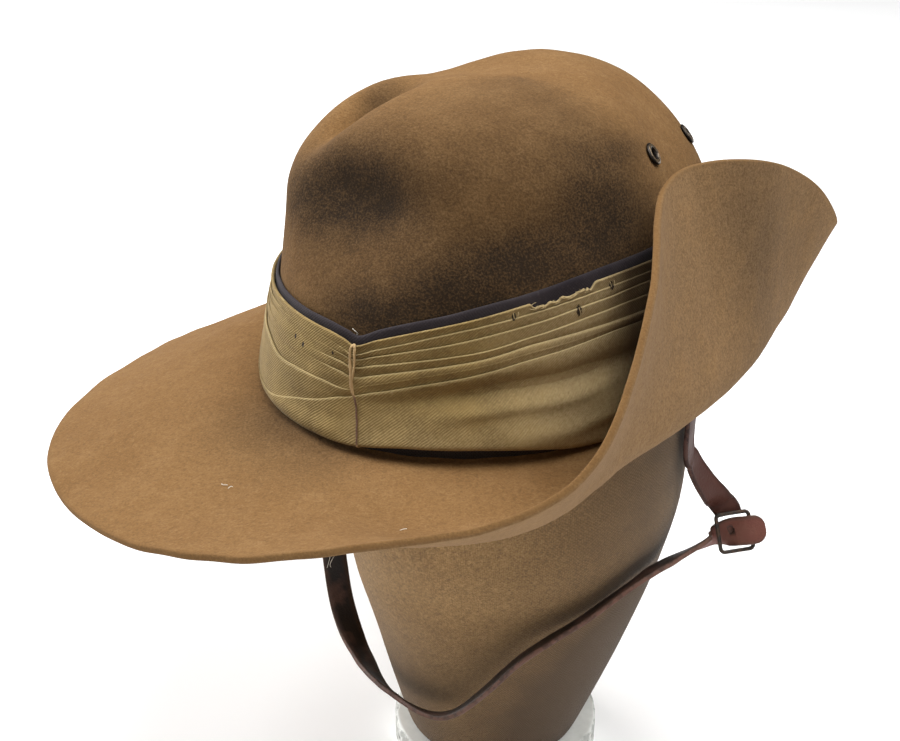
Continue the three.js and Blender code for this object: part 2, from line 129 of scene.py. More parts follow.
def new_group(name, inputs, outputs):
    group = bpy.data.node_groups.new(name, "ShaderNodeTree")
    for socket, value in inputs.items():
        made = group.interface.new_socket(socket, in_out="INPUT", socket_type="NodeSocketFloat")
        made.default_value = value
    for socket in outputs:
        group.interface.new_socket(socket, in_out="OUTPUT", socket_type="NodeSocketFloat")
    given = {socket.name: Value(socket) for socket in group.nodes.new("NodeGroupInput").outputs}
    gives = group.nodes.new("NodeGroupOutput").inputs
    return group, given, gives


def place_group(owner, group, **inputs):
    inputs = {name.replace("_", " ").capitalize(): value for name, value in inputs.items()}
    placed = add_node(owner, "ShaderNodeGroup", inputs, node_tree=group).socket.node
    return {socket.name: Value(socket) for socket in placed.outputs}


def set_finish(finish, **sockets):
    shader = finish.node_tree.nodes["Principled BSDF"]
    for socket, value in sockets.items():
        feed(shader.inputs[socket.replace("_", " ")], value)


def new_finish(name, **sockets):
    finish = bpy.data.materials.new(name)
    finish.use_nodes = True
    set_finish(finish, **sockets)
    return finish


def unit(vectors):
    return vectors / np.linalg.norm(vectors, axis=-1, keepdims=True)


def joined_rings(rings, closed=True):
    rows, columns = rings.shape[:2]
    row = np.arange(rows if closed else rows - 1)[:, None]
    column = np.arange(columns)
    below, after = (row + 1) % rows, (column + 1) % columns
    corners = [y * columns + x for y, x in ((row, column), (below, column), (below, after), (row, after))]
    return rings.reshape(-1, 3), np.stack(corners, axis=-1).reshape(-1, 4).tolist()


def new_mesh(name, points, faces):
    mesh = bpy.data.meshes.new(name)
    mesh.from_pydata((np.asarray(points) * MM).tolist(), [], faces)
    solid = bmesh.new()
    solid.from_mesh(mesh)
    bmesh.ops.recalc_face_normals(solid, faces=solid.faces)
    solid.to_mesh(mesh)
    solid.free()
    return mesh


def new_piece(name, shape, finish, slot, *nodes, **marks):
    mesh = new_mesh(name, *shape)
    mesh.polygons.foreach_set("use_smooth", np.ones(len(mesh.polygons), bool))
    mesh.materials.append(finish)
    for mark, values in marks.items():
        layer = mesh.attributes.new(mark, "FLOAT", "POINT")
        layer.data.foreach_set("value", np.asarray(values, np.float32).ravel())
    piece = bpy.data.objects.new(name, mesh)
    bpy.context.collection.objects.link(piece)
    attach(piece, "root")
    if nodes:
        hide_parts(*nodes)
    return piece


def turned(profile, steps):
    radius, height = np.asarray(profile, float).T
    turn = np.arange(steps) * 2 * math.pi / steps
    flat = np.stack([np.cos(turn), np.sin(turn)], axis=-1)
    rings = radius[:, None, None] * flat
    levels = np.broadcast_to(height[:, None, None], (len(height), steps, 1))
    return np.concatenate([rings, levels], axis=-1)


def rounded_corner(middle, radius, start, end, steps):
    turn = np.radians(np.linspace(start, end, steps))
    return [(middle[0] + radius * math.cos(t), middle[1] + radius * math.sin(t)) for t in turn]


# Waviness of hand-made surfaces: slow waves in seeded directions. A ripple is a depth, a length and a seed.
def waviness(points, *ripples, waves=9):
    total = np.zeros(points.shape[:-1])
    for depth, length, seed in ripples:
        chance = np.random.default_rng(seed)
        ways = unit(chance.normal(size=(waves, 3)))
        lengths = length * chance.uniform(0.7, 1.5, waves)
        phases = chance.uniform(0, 2 * math.pi, waves)
        total += depth * np.sin(points @ ways.T * 2 * math.pi / lengths + phases).sum(-1)
    return total / (1.4 * math.sqrt(waves))


# Wear that eats in from the edges of a piece: an edge mask broken up by patches.
edge_wear, given, gives = new_group("edge wear", {"Edge": 0, "Patch size": 3, "Reach": 0.5}, ["Worn"])
patches = noise(edge_wear, given["Patch size"], 4, 0.65)
sound = 1 - given["Reach"]
feed(gives["Worn"], (given["Edge"] + (patches - 0.5)).spread(sound, sound + 0.12))

inner = FOOT_RADIUS - FOOT_ROUNDING
face_radii = [0.01, inner * 0.6, inner - 1]
foot_profile = [(radius, 0) for radius in face_radii]
foot_profile += rounded_corner((inner, FOOT_ROUNDING), FOOT_ROUNDING, -90, 0, 6)
foot_profile += [(FOOT_RADIUS, FOOT_HEIGHT * share) for share in (0.3, 0.5, 0.7)]
foot_profile += rounded_corner((inner, FOOT_HEIGHT - FOOT_ROUNDING), FOOT_ROUNDING, 0, 90, 6)
foot_profile += [(radius, FOOT_HEIGHT) for radius in face_radii[::-1]]
foot_rings = turned(foot_profile, FOOT_STEPS)
foot_rim = np.clip((np.array(foot_profile)[:, 0] - FOOT_RADIUS) / FOOT_RIM + 1, 0, 1)
dips = FOOT_DIP + waviness(foot_rings, (FOOT_DIP, 9, 3))
foot_rings[..., :2] *= 1 - dips[..., None] * foot_rim[:, None, None]

paint = new_finish("chipped white paint", Roughness=0.55)
rim = marked(paint, "rim")
chips = place_group(paint, edge_wear, edge=rim, patch_size=9, reach=0.1)["Worn"]
deep_chips = place_group(paint, edge_wear, edge=rim, patch_size=5, reach=-0.06)["Worn"]
grime = noise(paint, 14, 4).spread(0.35, 0.7)
colour = coated(FOOT_WHITE, (grime, FOOT_SMUDGED), (chips, FOOT_GREY), (deep_chips, FOOT_BARE))
set_finish(paint, Base_Color=colour, Normal=raised(chips + deep_chips, -0.5))
new_piece("stand_foot_painted", joined_rings(foot_rings, closed=False), paint, "foot_paint", "stand_foot",
          rim=np.repeat(foot_rim, FOOT_STEPS))

# Stand column: a light tapered form with brown canvas pulled tight over it.
# The canvas is turned under at the foot, where its edge shows as a thin dark line, and over the top.
COLUMN_LEVELS = np.array([  # height, radius, lean towards the turned-up side's back
    (14.3, 36.8, -0.9), (17, 39.4, -0.9), (41, 47.4, 0.2), (68, 55.6, 1.9), (95, 63.7, 2.7),
    (115, 68.2, 3.6), (134, 72.2, 3.8), (150, 74.1, 3.4), (165, 75.4, 1.9), (180, 76, 0.6),
    (192, 76.6, 0), (212, 76.6, 0), (215, 74, 0),
])
LEAN_BEARING = 40
COLUMN_STEPS = 192
COLUMN_ROWS = 90
CANVAS_THICKNESS = 1.2
CANVAS_RIPPLE = (0.25, 55, 5)
CANVAS_THREAD = 0.75
CANVAS_BROWN = (0.288, 0.173, 0.070, 1)
CANVAS_DARK = (0.205, 0.117, 0.045, 1)
CANVAS_GAPS = (0.112, 0.065, 0.031, 1)
CANVAS_DARK_SLUBS = (0.10, 0.062, 0.034, 1)
CANVAS_PALE_SLUBS = (0.39, 0.25, 0.12, 1)
# Painted shade mixed with patchy dirt, laid on the canvas's right side and lower part.
CANVAS_SHADE_AND_DIRT = (0.066, 0.039, 0.019, 1)
CANVAS_TURNED_UNDER = (0.05, 0.032, 0.02, 1)


def pointing(bearing, rise=0):
    bearing, rise = math.radians(bearing), math.radians(rise)
    level = math.cos(rise)
    return np.array([level * math.cos(bearing), level * math.sin(bearing), math.sin(rise)])


def smooth_step(before, start, end, after, reach_before, reach, reach_after, share):
    slope_in = (end - before) / (reach_before + reach) * reach
    slope_out = (after - start) / (reach + reach_after) * reach
    square = share * share
    cube = square * share
    return ((2 * cube - 3 * square + 1) * start + (cube - 2 * square + share) * slope_in
            + (3 * square - 2 * cube) * end + (cube - square) * slope_out)


def between_rows(values, numbers):
    values = np.asarray(values, float)
    last = len(values) - 1
    numbers = np.asarray(numbers, float)
    row = np.clip(np.floor(numbers).astype(int), 0, last - 1)
    at = [values[np.clip(row + k, 0, last)] for k in (-1, 0, 1, 2)]
    share = (numbers - row).reshape(numbers.shape + (1,) * (values.ndim - 1))
    return smooth_step(*at, 1, 1, 1, share)


# Cloth coordinates in millimetres: round the hat or stand from its front, and up.
unrolled, given, gives = new_group("unrolled cloth", {"Radius": 80}, ["Round", "Up"])
place = add_node(unrolled, "ShaderNodeTexCoord", output="Object")
x, y, z = (add_node(unrolled, "ShaderNodeSeparateXYZ", {0: place}, axis) for axis in range(3))
feed(gives["Round"], maths("ARCTAN2", x, y * -1) * given["Radius"])
feed(gives["Up"], z / MM)

# Plain weave: threads that pass over and under each other, as a height and as the gaps between them.
weave, given, gives = new_group(
    "plain weave", {"Round": 0, "Up": 0, "Thread": 1}, ["Height", "Gaps", "Slubs"])
waves = []
for way in ("Round", "Up"):
    slub = (noise(weave, 6) - 0.5) * 2.2
    waves.append(maths("SINE", (given[way] / given["Thread"] + slub) * math.pi))
edges = [maths("ABSOLUTE", wave) for wave in waves]
streaks = [noise(weave, 0.6, 2, 0.6, stretch) for stretch in ((1, 1, 0.35), (0.35, 0.35, 1))]
feed(gives["Height"], (waves[0] * waves[1]).spread(-1, 1))
feed(gives["Gaps"], maths("MINIMUM", *edges).spread(0.35, 0))
feed(gives["Slubs"], (streaks[0] + streaks[1]).spread(0.75, 1.25))

# Mottling of dyed and worn cloth: broad patches and a fine grain.
mottling, given, gives = new_group("mottling", {"Patch size": 40, "Grain size": 1}, ["Patches", "Grain"])
feed(gives["Patches"], noise(mottling, given["Patch size"], 3, 0.6).spread(0.25, 0.75))
feed(gives["Grain"], noise(mottling, given["Grain size"], 2, 0.6).spread(0.25, 0.75))

column_profile = between_rows(COLUMN_LEVELS, np.linspace(0, len(COLUMN_LEVELS) - 1, COLUMN_ROWS))
column_top = COLUMN_LEVELS[-1, 0]
outside = column_profile[:, 1::-1]
inside = outside - (CANVAS_THICKNESS, 0)
inside[:, 1] = np.minimum(inside[:, 1], column_top - CANVAS_THICKNESS)
lid = [(radius, column_top) for radius in (60, 30, 0.01)]
below_lid = [(radius, column_top - CANVAS_THICKNESS) for radius in (0.01, 30, 60)]
column_rings = turned([*outside, *lid, *below_lid, *inside[::-1]], COLUMN_STEPS)
hollows = waviness(column_rings, CANVAS_RIPPLE) - CANVAS_RIPPLE[0]
column_rings += hollows[..., None] * unit(column_rings * (1, 1, 0))
lean = np.interp(column_rings[..., 2], column_profile[:, 0], column_profile[:, 2])
column_rings += lean[..., None] * pointing(LEAN_BEARING)

canvas = new_finish(
    "brown canvas", Roughness=0.95, Specular_IOR_Level=0.15, Sheen_Weight=0.1, Sheen_Roughness=0.5)
cloth = place_group(canvas, unrolled, radius=66)
threads = place_group(canvas, weave, round=cloth["Round"], up=cloth["Up"], thread=CANVAS_THREAD)
blotches = place_group(canvas, mottling, patch_size=55, grain_size=1.6)
# Painted shade with some patchy dirt: the canvas is darker round its right side as seen from the camera and
# towards the foot under the strap.
turned_away = cloth["Round"].spread(24, 100, 0, 1.6) * cloth["Round"].spread(195, 120)
shaded = turned_away + cloth["Up"].spread(118, 30, 0, 1.25)
colour = coated(
    CANVAS_DARK,
    (blotches["Patches"], CANVAS_BROWN),
    (threads["Gaps"] * 0.55, CANVAS_GAPS),
    (threads["Slubs"].spread(0.5, 0, 0, 0.62), CANVAS_DARK_SLUBS),
    (threads["Slubs"].spread(0.5, 1, 0, 0.48), CANVAS_PALE_SLUBS),
    (shaded * blotches["Patches"].spread(0, 1, 0.7, 0.45), CANVAS_SHADE_AND_DIRT),
    (cloth["Up"].spread(16.4, 15.2), CANVAS_TURNED_UNDER),
)
set_finish(canvas, Base_Color=colour, Normal=raised(threads["Height"], 0.22, 0.8))
canvas_cover = new_piece("stand_canvas", joined_rings(column_rings), canvas, "stand_cloth", "stand_column")

# Felt body: crown and brim blocked from one piece of brown wool felt, with a raw cut edge.
# The crown is creased along the top and pinched in front, and the left side of the brim is turned up.
HAT_HEIGHT = 198
HEAD_HALF_LENGTH = 99
HEAD_HALF_WIDTH = 82
FELT_THICKNESS = 2.5
BRIM_BEND = 31.3
BRIM_STATIONS = np.array([  # angle, width, level stretch, slope
    (-180, 97, 0, -30), (-150, 92, 0, -24.5), (-120, 88.5, 0, -14.5), (-90, 87.5, 4, -2),
    (-75, 88.5, 21, 11), (-60, 92, 38, 35), (-45, 97, 30, 46), (-30, 100, 13, 81), (-15, 103, 5, 103),
    (0, 105, 1, 106.5), (15, 101, 0, 95), (30, 88.5, 0.5, 85), (45, 69.5, 4.2, 65), (60, 67.5, 1, 48.5),
    (75, 70, 0, 25), (90, 75, 0, -4), (120, 80, 0, -26), (150, 86, 0, -36),
])
CROWN_LEVELS = np.array([  # height, half length, half width
    (0, 99, 82), (28, 95.3, 78.3), (56, 90.8, 74.8), (78, 84.8, 69.8),
    (94, 75, 62), (105, 59.4, 49.5), (110.5, 36, 30), (112, 12, 10),
])
CROWN_TOP = 112.2
DENTS = [  # x, y, z, heading, along, across, up, down, depth, dip
    (-34, -39, 108, 86, 22, 11, 60, 60, 14.6, 90),
    (-33, 12, 112, 86, 25, 35, 60, 40, 6.4, 90),
    (-6, -86, 82, 0, 36, 40, 16, 23, 15.4, 10),
    (-43, -69, 84, 130, 32, 29, 24, 19, -6.2, 0),
    (56, -46, 76, -40, 40, 40, 16, 12, 4, 0),
    (52, 39, 99, -40, 43, 25, 40, 27, 9.5, 31),
    (-64, 20, 88, 90, 34, 30, 16, 16, 9, 20),
]
CUT_EDGE = [  # past the edge, and side to side as a share of the half thickness
    (0.35, 0.93), (0.6, 0.7), (0.68, 0.25), (0.68, -0.25), (0.6, -0.7), (0.35, -0.93)]
FELT_LUMPS = [(0.35, 46, 11), (0.16, 17, 12)]
FELT_STEPS = 360
CROWN_ROWS = 56
BRIM_ROWS = 44
CROWN_FROM_EDGE = 140  # millimetres from the cut edge
BRIM_FROM_EDGE = 88
FELT_BROWN = (0.198, 0.109, 0.0425, 1)
FELT_DARK = (0.165, 0.0875, 0.033, 1)
FELT_WORN = (0.232, 0.134, 0.057, 1)
FELT_SHADE_AND_GRIME = (0.0255, 0.0170, 0.0106, 1)
FELT_UNDER = (0.188, 0.121, 0.064, 1)
FELT_DARK_HAIRS = (0.085, 0.046, 0.02, 1)
FELT_PALE_HAIRS = (0.30, 0.19, 0.095, 1)
FELT_CUT = (0.135, 0.074, 0.03, 1)
# Painted shade mixed with grime darkens the felt: the crown wall towards its foot, the front dent, the crease
# valleys, the front of the top, and the brim beside the crown and on the flap.
CROWN_SHADE_AND_GRIME_LEVELS = [(0, 0.35), (60, 0.3), (80, 0.2), (90, 0.1), (100, 0)]  # height, strength
CROWN_SHADE_AND_STAINS = [  # angle, height, half width in degrees, half height in millimetres, strength
    (-112, 79, 20, 16, 0.95), (-94, 85, 25, 18, 0.97), (-19, 76, 16, 30, 0.95), (-42, 68, 21, 13, 0.97),
    (-58, 58, 18, 13, 0.97), (-78, 49, 18, 10, 0.97), (-49, 100, 40, 18, 0.5), (-150, 107, 14, 3.4, 0.62),
    (-6, 97, 11, 4, 0.46),
]
BRIM_SHADE_AND_STAINS = [  # angle, share of the brim, half width in degrees, half width as a share, strength
    (-101, 0.05, 17, 0.3, 0.58), (-83, 0.15, 9, 0.25, 0.18), (16, 0.68, 11, 0.45, 0.4),
    (33, 0.75, 9, 0.4, 0.14), (-12, 0.7, 12, 0.3, 0.12), (8, 0.6, 34, 0.8, 0.1),
]


def bell(*shares):
    return np.exp(-sum(share ** 2 for share in shares))


def round_the_head(stations, values, angles):
    at = np.concatenate([stations[-2:] - 360, stations, stations[:3] + 360])
    value = np.concatenate([values[-2:], values, values[:3]])
    turned_angles = (np.asarray(angles, float) - stations[0]) % 360 + stations[0]
    row = np.searchsorted(at, turned_angles, side="right") - 1
    reach = at[row + 1] - at[row]
    return smooth_step(value[row - 1], value[row], value[row + 1], value[row + 2],
                       at[row] - at[row - 1], reach, at[row + 2] - at[row + 1],
                       (turned_angles - at[row]) / reach)


def outward_at(angles):
    turn = np.radians(angles)
    outward = np.stack([np.cos(turn) / HEAD_HALF_WIDTH, np.sin(turn) / HEAD_HALF_LENGTH, 0 * turn], axis=-1)
    return unit(outward)


def plain_crown(angles, numbers):
    angles, numbers = np.broadcast_arrays(angles, numbers)
    height, half_length, half_width = np.moveaxis(between_rows(CROWN_LEVELS, numbers), -1, 0)
    turn = np.radians(angles)
    return np.stack([half_width * np.cos(turn), half_length * np.sin(turn), height], axis=-1)


def dented(points):
    moved = points.copy()
    for x, y, z, heading, along, across, up, down, depth, dip in DENTS:
        away = points - (x, y, z)
        forward = away @ pointing(heading) / along
        sideways = away @ pointing(heading + 90) / across
        upward = away[..., 2] / np.where(away[..., 2] > 0, up, down)
        push = depth * bell(forward, sideways, upward)
        moved -= push[..., None] * pointing(math.degrees(math.atan2(y, x)), dip)
    return moved


def brim_points(angles, shares):
    angles, shares = np.broadcast_arrays(angles, shares)
    stations, *columns = BRIM_STATIONS.T
    width, level, slope = (round_the_head(stations, column, angles) for column in columns)
    level = np.maximum(level, 0)
    slope = np.radians(slope)
    slope = np.where(np.abs(slope) < 1e-4, 1e-4, slope)
    reach = shares * width
    flat = np.minimum(reach, level)
    bent = np.clip(reach - level, 0, BRIM_BEND)
    rest = reach - flat - bent
    curl = slope / BRIM_BEND
    out = flat + np.sin(curl * bent) / curl + rest * np.cos(slope)
    up = (1 - np.cos(curl * bent)) / curl + rest * np.sin(slope)
    turn = np.radians(angles)
    start = np.stack([HEAD_HALF_WIDTH * np.cos(turn), HEAD_HALF_LENGTH * np.sin(turn), up], axis=-1)
    return start + outward_at(angles) * out[..., None]


def capped(rings):
    points, faces = joined_rings(rings, closed=False)
    first = list(range(rings.shape[1]))
    last = [len(points) - 1 - corner for corner in first]
    return points, [*faces, first, last]


def turned_from(angle):
    return (felt_angles - angle + 180) % 360 - 180


def on_both_sides(rows, top):
    cap = np.full_like(rows[:1], top)
    edge = np.zeros((len(CUT_EDGE), *rows.shape[1:]))
    return np.concatenate([cap, rows, edge, rows[::-1], cap])


felt_angles = np.arange(FELT_STEPS) * 360 / FELT_STEPS
crown_numbers = np.linspace(len(CROWN_LEVELS) - 1, 0, CROWN_ROWS)
crown_rings = dented(plain_crown(felt_angles[None, :], crown_numbers[:, None]))
brim_shares = np.arange(1, BRIM_ROWS + 1) / BRIM_ROWS
brim_rings = brim_points(felt_angles[None, :], brim_shares[:, None])
felt_rings = np.concatenate([crown_rings, brim_rings])
fold = np.arange(CROWN_ROWS - 3, CROWN_ROWS + 1)
for _ in range(3):
    felt_rings[fold] = (felt_rings[fold - 1] + 2 * felt_rings[fold] + felt_rings[fold + 1]) / 4
downward = np.gradient(felt_rings, axis=0)
sideways = np.roll(felt_rings, -1, axis=1) - np.roll(felt_rings, 1, axis=1)
felt_normals = unit(np.cross(downward, sideways))
felt_rings += waviness(felt_rings, *FELT_LUMPS)[..., None] * felt_normals

half = FELT_THICKNESS / 2
edge_way = unit(felt_rings[-1] - felt_rings[-2])
cut_edge = [felt_rings[-1] + edge_way * out + felt_normals[-1] * side * half for out, side in CUT_EDGE]
upper_skin, lower_skin = felt_rings + half * felt_normals, felt_rings - half * felt_normals
middle = dented(np.array([0, 0, CROWN_TOP]))
upper_tip = 0.97 * (middle + (0, 0, half)) + 0.03 * upper_skin[:1]
lower_tip = 0.97 * (middle - (0, 0, half)) + 0.03 * lower_skin[:1]
felt_skin = np.concatenate([upper_tip, upper_skin, cut_edge, lower_skin[::-1], lower_tip])

crown_heights = plain_crown(0, crown_numbers)[:, 2:]
clear_of_shade_and_grime = 1 - np.interp(crown_heights, *np.transpose(CROWN_SHADE_AND_GRIME_LEVELS)) * np.ones(FELT_STEPS)
for angle, height, wide, tall, strength in CROWN_SHADE_AND_STAINS:
    clear_of_shade_and_grime *= 1 - strength * bell(turned_from(angle) / wide, (crown_heights - height) / tall)
brim_shade_and_dirt = np.zeros((BRIM_ROWS, FELT_STEPS))
for angle, share, wide, deep, strength in BRIM_SHADE_AND_STAINS:
    brim_shade_and_dirt += strength * bell(turned_from(angle) / wide, (brim_shares[:, None] - share) / deep)
unfaded = on_both_sides(np.concatenate([1 - clear_of_shade_and_grime, brim_shade_and_dirt]), 0)
crown_from_edge = np.linspace(CROWN_FROM_EDGE, BRIM_FROM_EDGE, CROWN_ROWS)
from_edge = np.concatenate([crown_from_edge, BRIM_FROM_EDGE * (1 - brim_shares)])
from_edge = on_both_sides(from_edge, CROWN_FROM_EDGE)
underside = np.arange(len(felt_skin)) > len(felt_skin) / 2

felt = new_finish(
    "brown wool felt", Roughness=1, Specular_IOR_Level=0.05, Sheen_Weight=0.02, Sheen_Roughness=0.45)
stains = place_group(felt, mottling, patch_size=48, grain_size=0.75)
clouds = place_group(felt, mottling, patch_size=11, grain_size=1.9)
nap = stains["Grain"] * 0.6 + clouds["Grain"] * 0.4
# Painted shade and grime: the marked share darkens the felt to a near-black brown.
shade_and_grime_share = marked(felt, "unfaded") * clouds["Patches"].spread(0, 1, 1.12, 0.9)
shade_and_grime_share = shade_and_grime_share * stains["Grain"].spread(0.2, 0.8, 1.14, 0.82)
colour = coated(
    FELT_DARK,
    (stains["Patches"], FELT_BROWN),
    (marked(felt, "underside") * 0.6, FELT_UNDER),
    (clouds["Patches"].spread(0.45, 1, 0, 0.45), FELT_WORN),
    (nap.spread(0.55, 0.25, 0, 0.4), FELT_DARK_HAIRS),
    (nap.spread(0.58, 0.85, 0, 0.3), FELT_PALE_HAIRS),
    (shade_and_grime_share, FELT_SHADE_AND_GRIME),
    (marked(felt, "from_edge").spread(1, 0) * clouds["Grain"].spread(0.3, 0.7, 0.1, 0.6), FELT_CUT),
)
set_finish(felt, Base_Color=colour, Normal=raised(nap + clouds["Patches"] * 1.5, 0.35, 0.7))
lift = np.array([0, 0, HAT_HEIGHT])
felt_body = new_piece("felt_hat", capped(felt_skin + lift), felt, "felt", "felt_body", unfaded=unfaded,
                      from_edge=np.repeat(from_edge, FELT_STEPS), underside=np.repeat(underside, FELT_STEPS))

# Vent eyelets: four dark lacquered metal rings pressed through the sides of the crown.
# Their flange lies on the felt and the lacquer has rubbed bright on the rolled lip.
EYELETS = [(7, 3.9), (49, 3.3), (173, 3.9), (131, 3.3)]  # angle, row of the crown's levels
EYELET_PROFILE = np.array([  # radius, height
    (2, -2), (2.35, -2.2), (2.7, -2), (2.7, -0.6), (2.75, 0.1), (3.4, 0.2), (4.1, 0.2), (4.35, 0.42),
    (4.25, 0.75), (3.9, 1.05), (3.4, 1.25), (2.9, 1.28), (2.45, 1.1), (2.12, 0.75), (2, 0.3), (2, -0.8),
])
EYELET_HOLE = 2.85
EYELET_STEPS = 40
HOLE_STEPS = 24
EYELET_DARK = (0.022, 0.017, 0.013, 1)
EYELET_BRIGHT = (0.21, 0.15, 0.09, 1)


def standing_on(rings, at, normal):
    side = unit(np.cross((0, 0, 1), normal))
    return at + rings @ np.array([side, np.cross(normal, side), normal])


def gathered(cords):
    points, faces = [], []
    for rings in cords:
        some, joins = capped(rings)
        faces += [[corner + len(points) for corner in face] for face in joins]
        points += some.tolist()
    return points, faces


def drill_out(piece, drills):
    tool = bpy.data.objects.new("drill", new_mesh("drill", *gathered(drills)))
    bpy.context.collection.objects.link(tool)
    cut = piece.modifiers.new("holes", "BOOLEAN")
    cut.operation = "DIFFERENCE"
    cut.solver = "EXACT"
    cut.object = tool
    holed = bpy.data.meshes.new_from_object(piece.evaluated_get(bpy.context.evaluated_depsgraph_get()))
    piece.modifiers.clear()
    piece.data = holed
    bpy.data.objects.remove(tool)


lacquer = new_finish("dark lacquered eyelet", Metallic=0.7)
rubbed = place_group(lacquer, edge_wear, edge=marked(lacquer, "lip"), patch_size=1.6, reach=0.25)["Worn"]
set_finish(lacquer, Base_Color=coated(EYELET_DARK, (rubbed, EYELET_BRIGHT)),
           Roughness=rubbed.spread(0, 1, 0.42, 0.25))
lip = np.repeat(np.clip((EYELET_PROFILE[:, 1] - 0.5) / 0.75, 0, 1), EYELET_STEPS)
drills = []
for number, (angle, level) in enumerate(EYELETS, 1):
    rows = level + np.array([0, 0.1, -0.1, 0, 0])
    at, upper, lower, after, before = dented(plain_crown(angle + np.array([0, 0, 0, 2, -2]), rows))
    normal = unit(np.cross(lower - upper, after - before))
    seat = at + normal * half + lift
    ring = standing_on(turned(EYELET_PROFILE, EYELET_STEPS), seat, normal)
    new_piece(f"vent_eyelet_{number}", joined_rings(ring), lacquer, "eyelet_metal", f"eyelet_{number}",
              lip=lip)
    drills.append(standing_on(turned([(EYELET_HOLE, -6), (EYELET_HOLE, 4)], HOLE_STEPS), seat, normal))
drill_out(felt_body, drills)

# Navy under-band: a strip of navy wool cloth sewn round the foot of the crown.
# It shows above and below the khaki band, and its ends overlap at the front V.
BAND_EDGES = np.array([  # angle, top, foot
    (-180, 42, 3), (-150, 40.5, 3), (-128, 41, 3), (-110, 42, 3), (-91, 41.4, 3), (-85.5, 40.2, 3),
    (-82, 38.7, 3), (-76, 42.4, 3), (-66, 47.2, 3), (-50, 53.2, 3), (-40, 56.6, 3), (-23, 60.7, 3),
    (-5, 62, 4.4), (10, 62, 4.8), (45, 60, 4.7), (90, 55, 3.2), (135, 48, 3),
])
V_ANGLE = -82
CROWN_SAMPLES = 1401
BAND_RADIUS = 93
GAP = 0.3
NAVY_THICKNESS = 1
NAVY_SHOWS_ABOVE = [(-82, 3.1), (100, 3.1), (180, 2.4), (262, 2.3), (278, 3.1)]  # angle, millimetres
NAVY_SHOWS_BELOW = 1.3
NAVY_SECTION = np.array([  # share of the height, millimetres past it, how far it stands off
    (0, 0.5, 0.3), (0, 0, 0.9), (0.5, 0, 1.0), (1, -7, 1.0), (1, -4.4, 1.0), (1, -3.7, 1.05), (1, -2.9, 1.1),
    (1, -1.8, 1.15), (1, -0.9, 1.15), (1, -0.35, 1.0), (1, -0.05, 0.65), (1, 0, 0.3), (1, -0.3, 0.0),
    (1, -2, 0.0), (0.5, 0, 0), (0.05, 0, 0),
])
NAVY_TOP_ROWS = slice(6, 12)
NAVY_PUCKERS = (0.16, 14, 21)
NAVY_TOP_RIPPLE = (0.35, 26, 22)
NAVY_STEPS = 420
NAVY_THREAD = 0.6
NAVY_BLUE = (0.0215, 0.0172, 0.0205, 1)
NAVY_FADED = (0.040, 0.033, 0.035, 1)
NAVY_DUST = (0.066, 0.054, 0.052, 1)


def wall_points(angles, heights, off):
    numbers = np.linspace(0, len(CROWN_LEVELS) - 1, CROWN_SAMPLES)
    levels = between_rows(CROWN_LEVELS[:, 0], numbers)
    rows = np.interp(heights, levels, numbers)
    return plain_crown(angles, rows) + outward_at(angles) * np.asarray(off)[..., None]


def band_edges(angles):
    stations, *columns = BAND_EDGES.T
    return [round_the_head(stations, column, angles) for column in columns]


navy_angles = V_ANGLE + np.arange(NAVY_STEPS) * 360 / NAVY_STEPS
band_top, band_foot = band_edges(navy_angles)
navy_low = band_foot - NAVY_SHOWS_BELOW
navy_high = band_top + np.interp(navy_angles, *np.transpose(NAVY_SHOWS_ABOVE))
navy_off = half + GAP
share, past, off = NAVY_SECTION.T[..., None]
navy_rings = wall_points(navy_angles, navy_low + share * (navy_high - navy_low) + past, navy_off + off)
navy_rings += waviness(navy_rings, NAVY_PUCKERS)[..., None] * outward_at(navy_angles)
navy_rings[NAVY_TOP_ROWS, :, 2] += waviness(navy_rings[NAVY_TOP_ROWS] * (1, 1, 0), NAVY_TOP_RIPPLE)

navy = new_finish(
    "navy wool cloth", Roughness=0.95, Specular_IOR_Level=0.1, Sheen_Weight=0.05, Sheen_Roughness=0.5)
cloth = place_group(navy, unrolled, radius=BAND_RADIUS)
threads = place_group(navy, weave, round=cloth["Round"], up=cloth["Up"], thread=NAVY_THREAD)
blotches = place_group(navy, mottling, patch_size=18, grain_size=1.1)
dust = blotches["Grain"].spread(0.65, 1, 0, 0.35)
colour = coated(NAVY_BLUE, (blotches["Patches"], NAVY_FADED), (dust, NAVY_DUST))
set_finish(navy, Base_Color=colour, Normal=raised(threads["Height"], 0.15, 0.7))
navy_band = new_piece("navy_under_band", joined_rings(navy_rings + lift), navy, "navy_cloth", "under_band")

# Khaki band: a strip of cotton drill pleated lengthwise and wound round the crown over the navy band.
# Each fold lies behind the one below it; the tie gathers them in front, and moths have eaten the top fold.
KHAKI_SPANS = [(-135, 12, 330), (12, 225, 170)]  # angle from, angle to, steps
KHAKI_PALE = (0.345, 0.252, 0.097, 1)
KHAKI = (0.258, 0.176, 0.065, 1)
KHAKI_DARK = (0.148, 0.097, 0.036, 1)
KHAKI_RIDGE_HIGHLIGHT_AND_WEAR = (0.44, 0.345, 0.17, 1)
KHAKI_PAINTED_LIGHT = (0.43, 0.335, 0.18, 1)
KHAKI_FLAP_SHADOW = (0.070, 0.045, 0.022, 1)
MOTH_SHADOW = (0.03, 0.022, 0.016, 1)
TWILL_SPACING = 0.8
TWILL_SLOPE = 44
PLEAT_ANGLES = np.array([-180, -150, -125, -115, -108, -99, -91, -85, -80, -72, -60, -50, -40, -30, -22, -13,
                         20, 60, 100, 140], float)
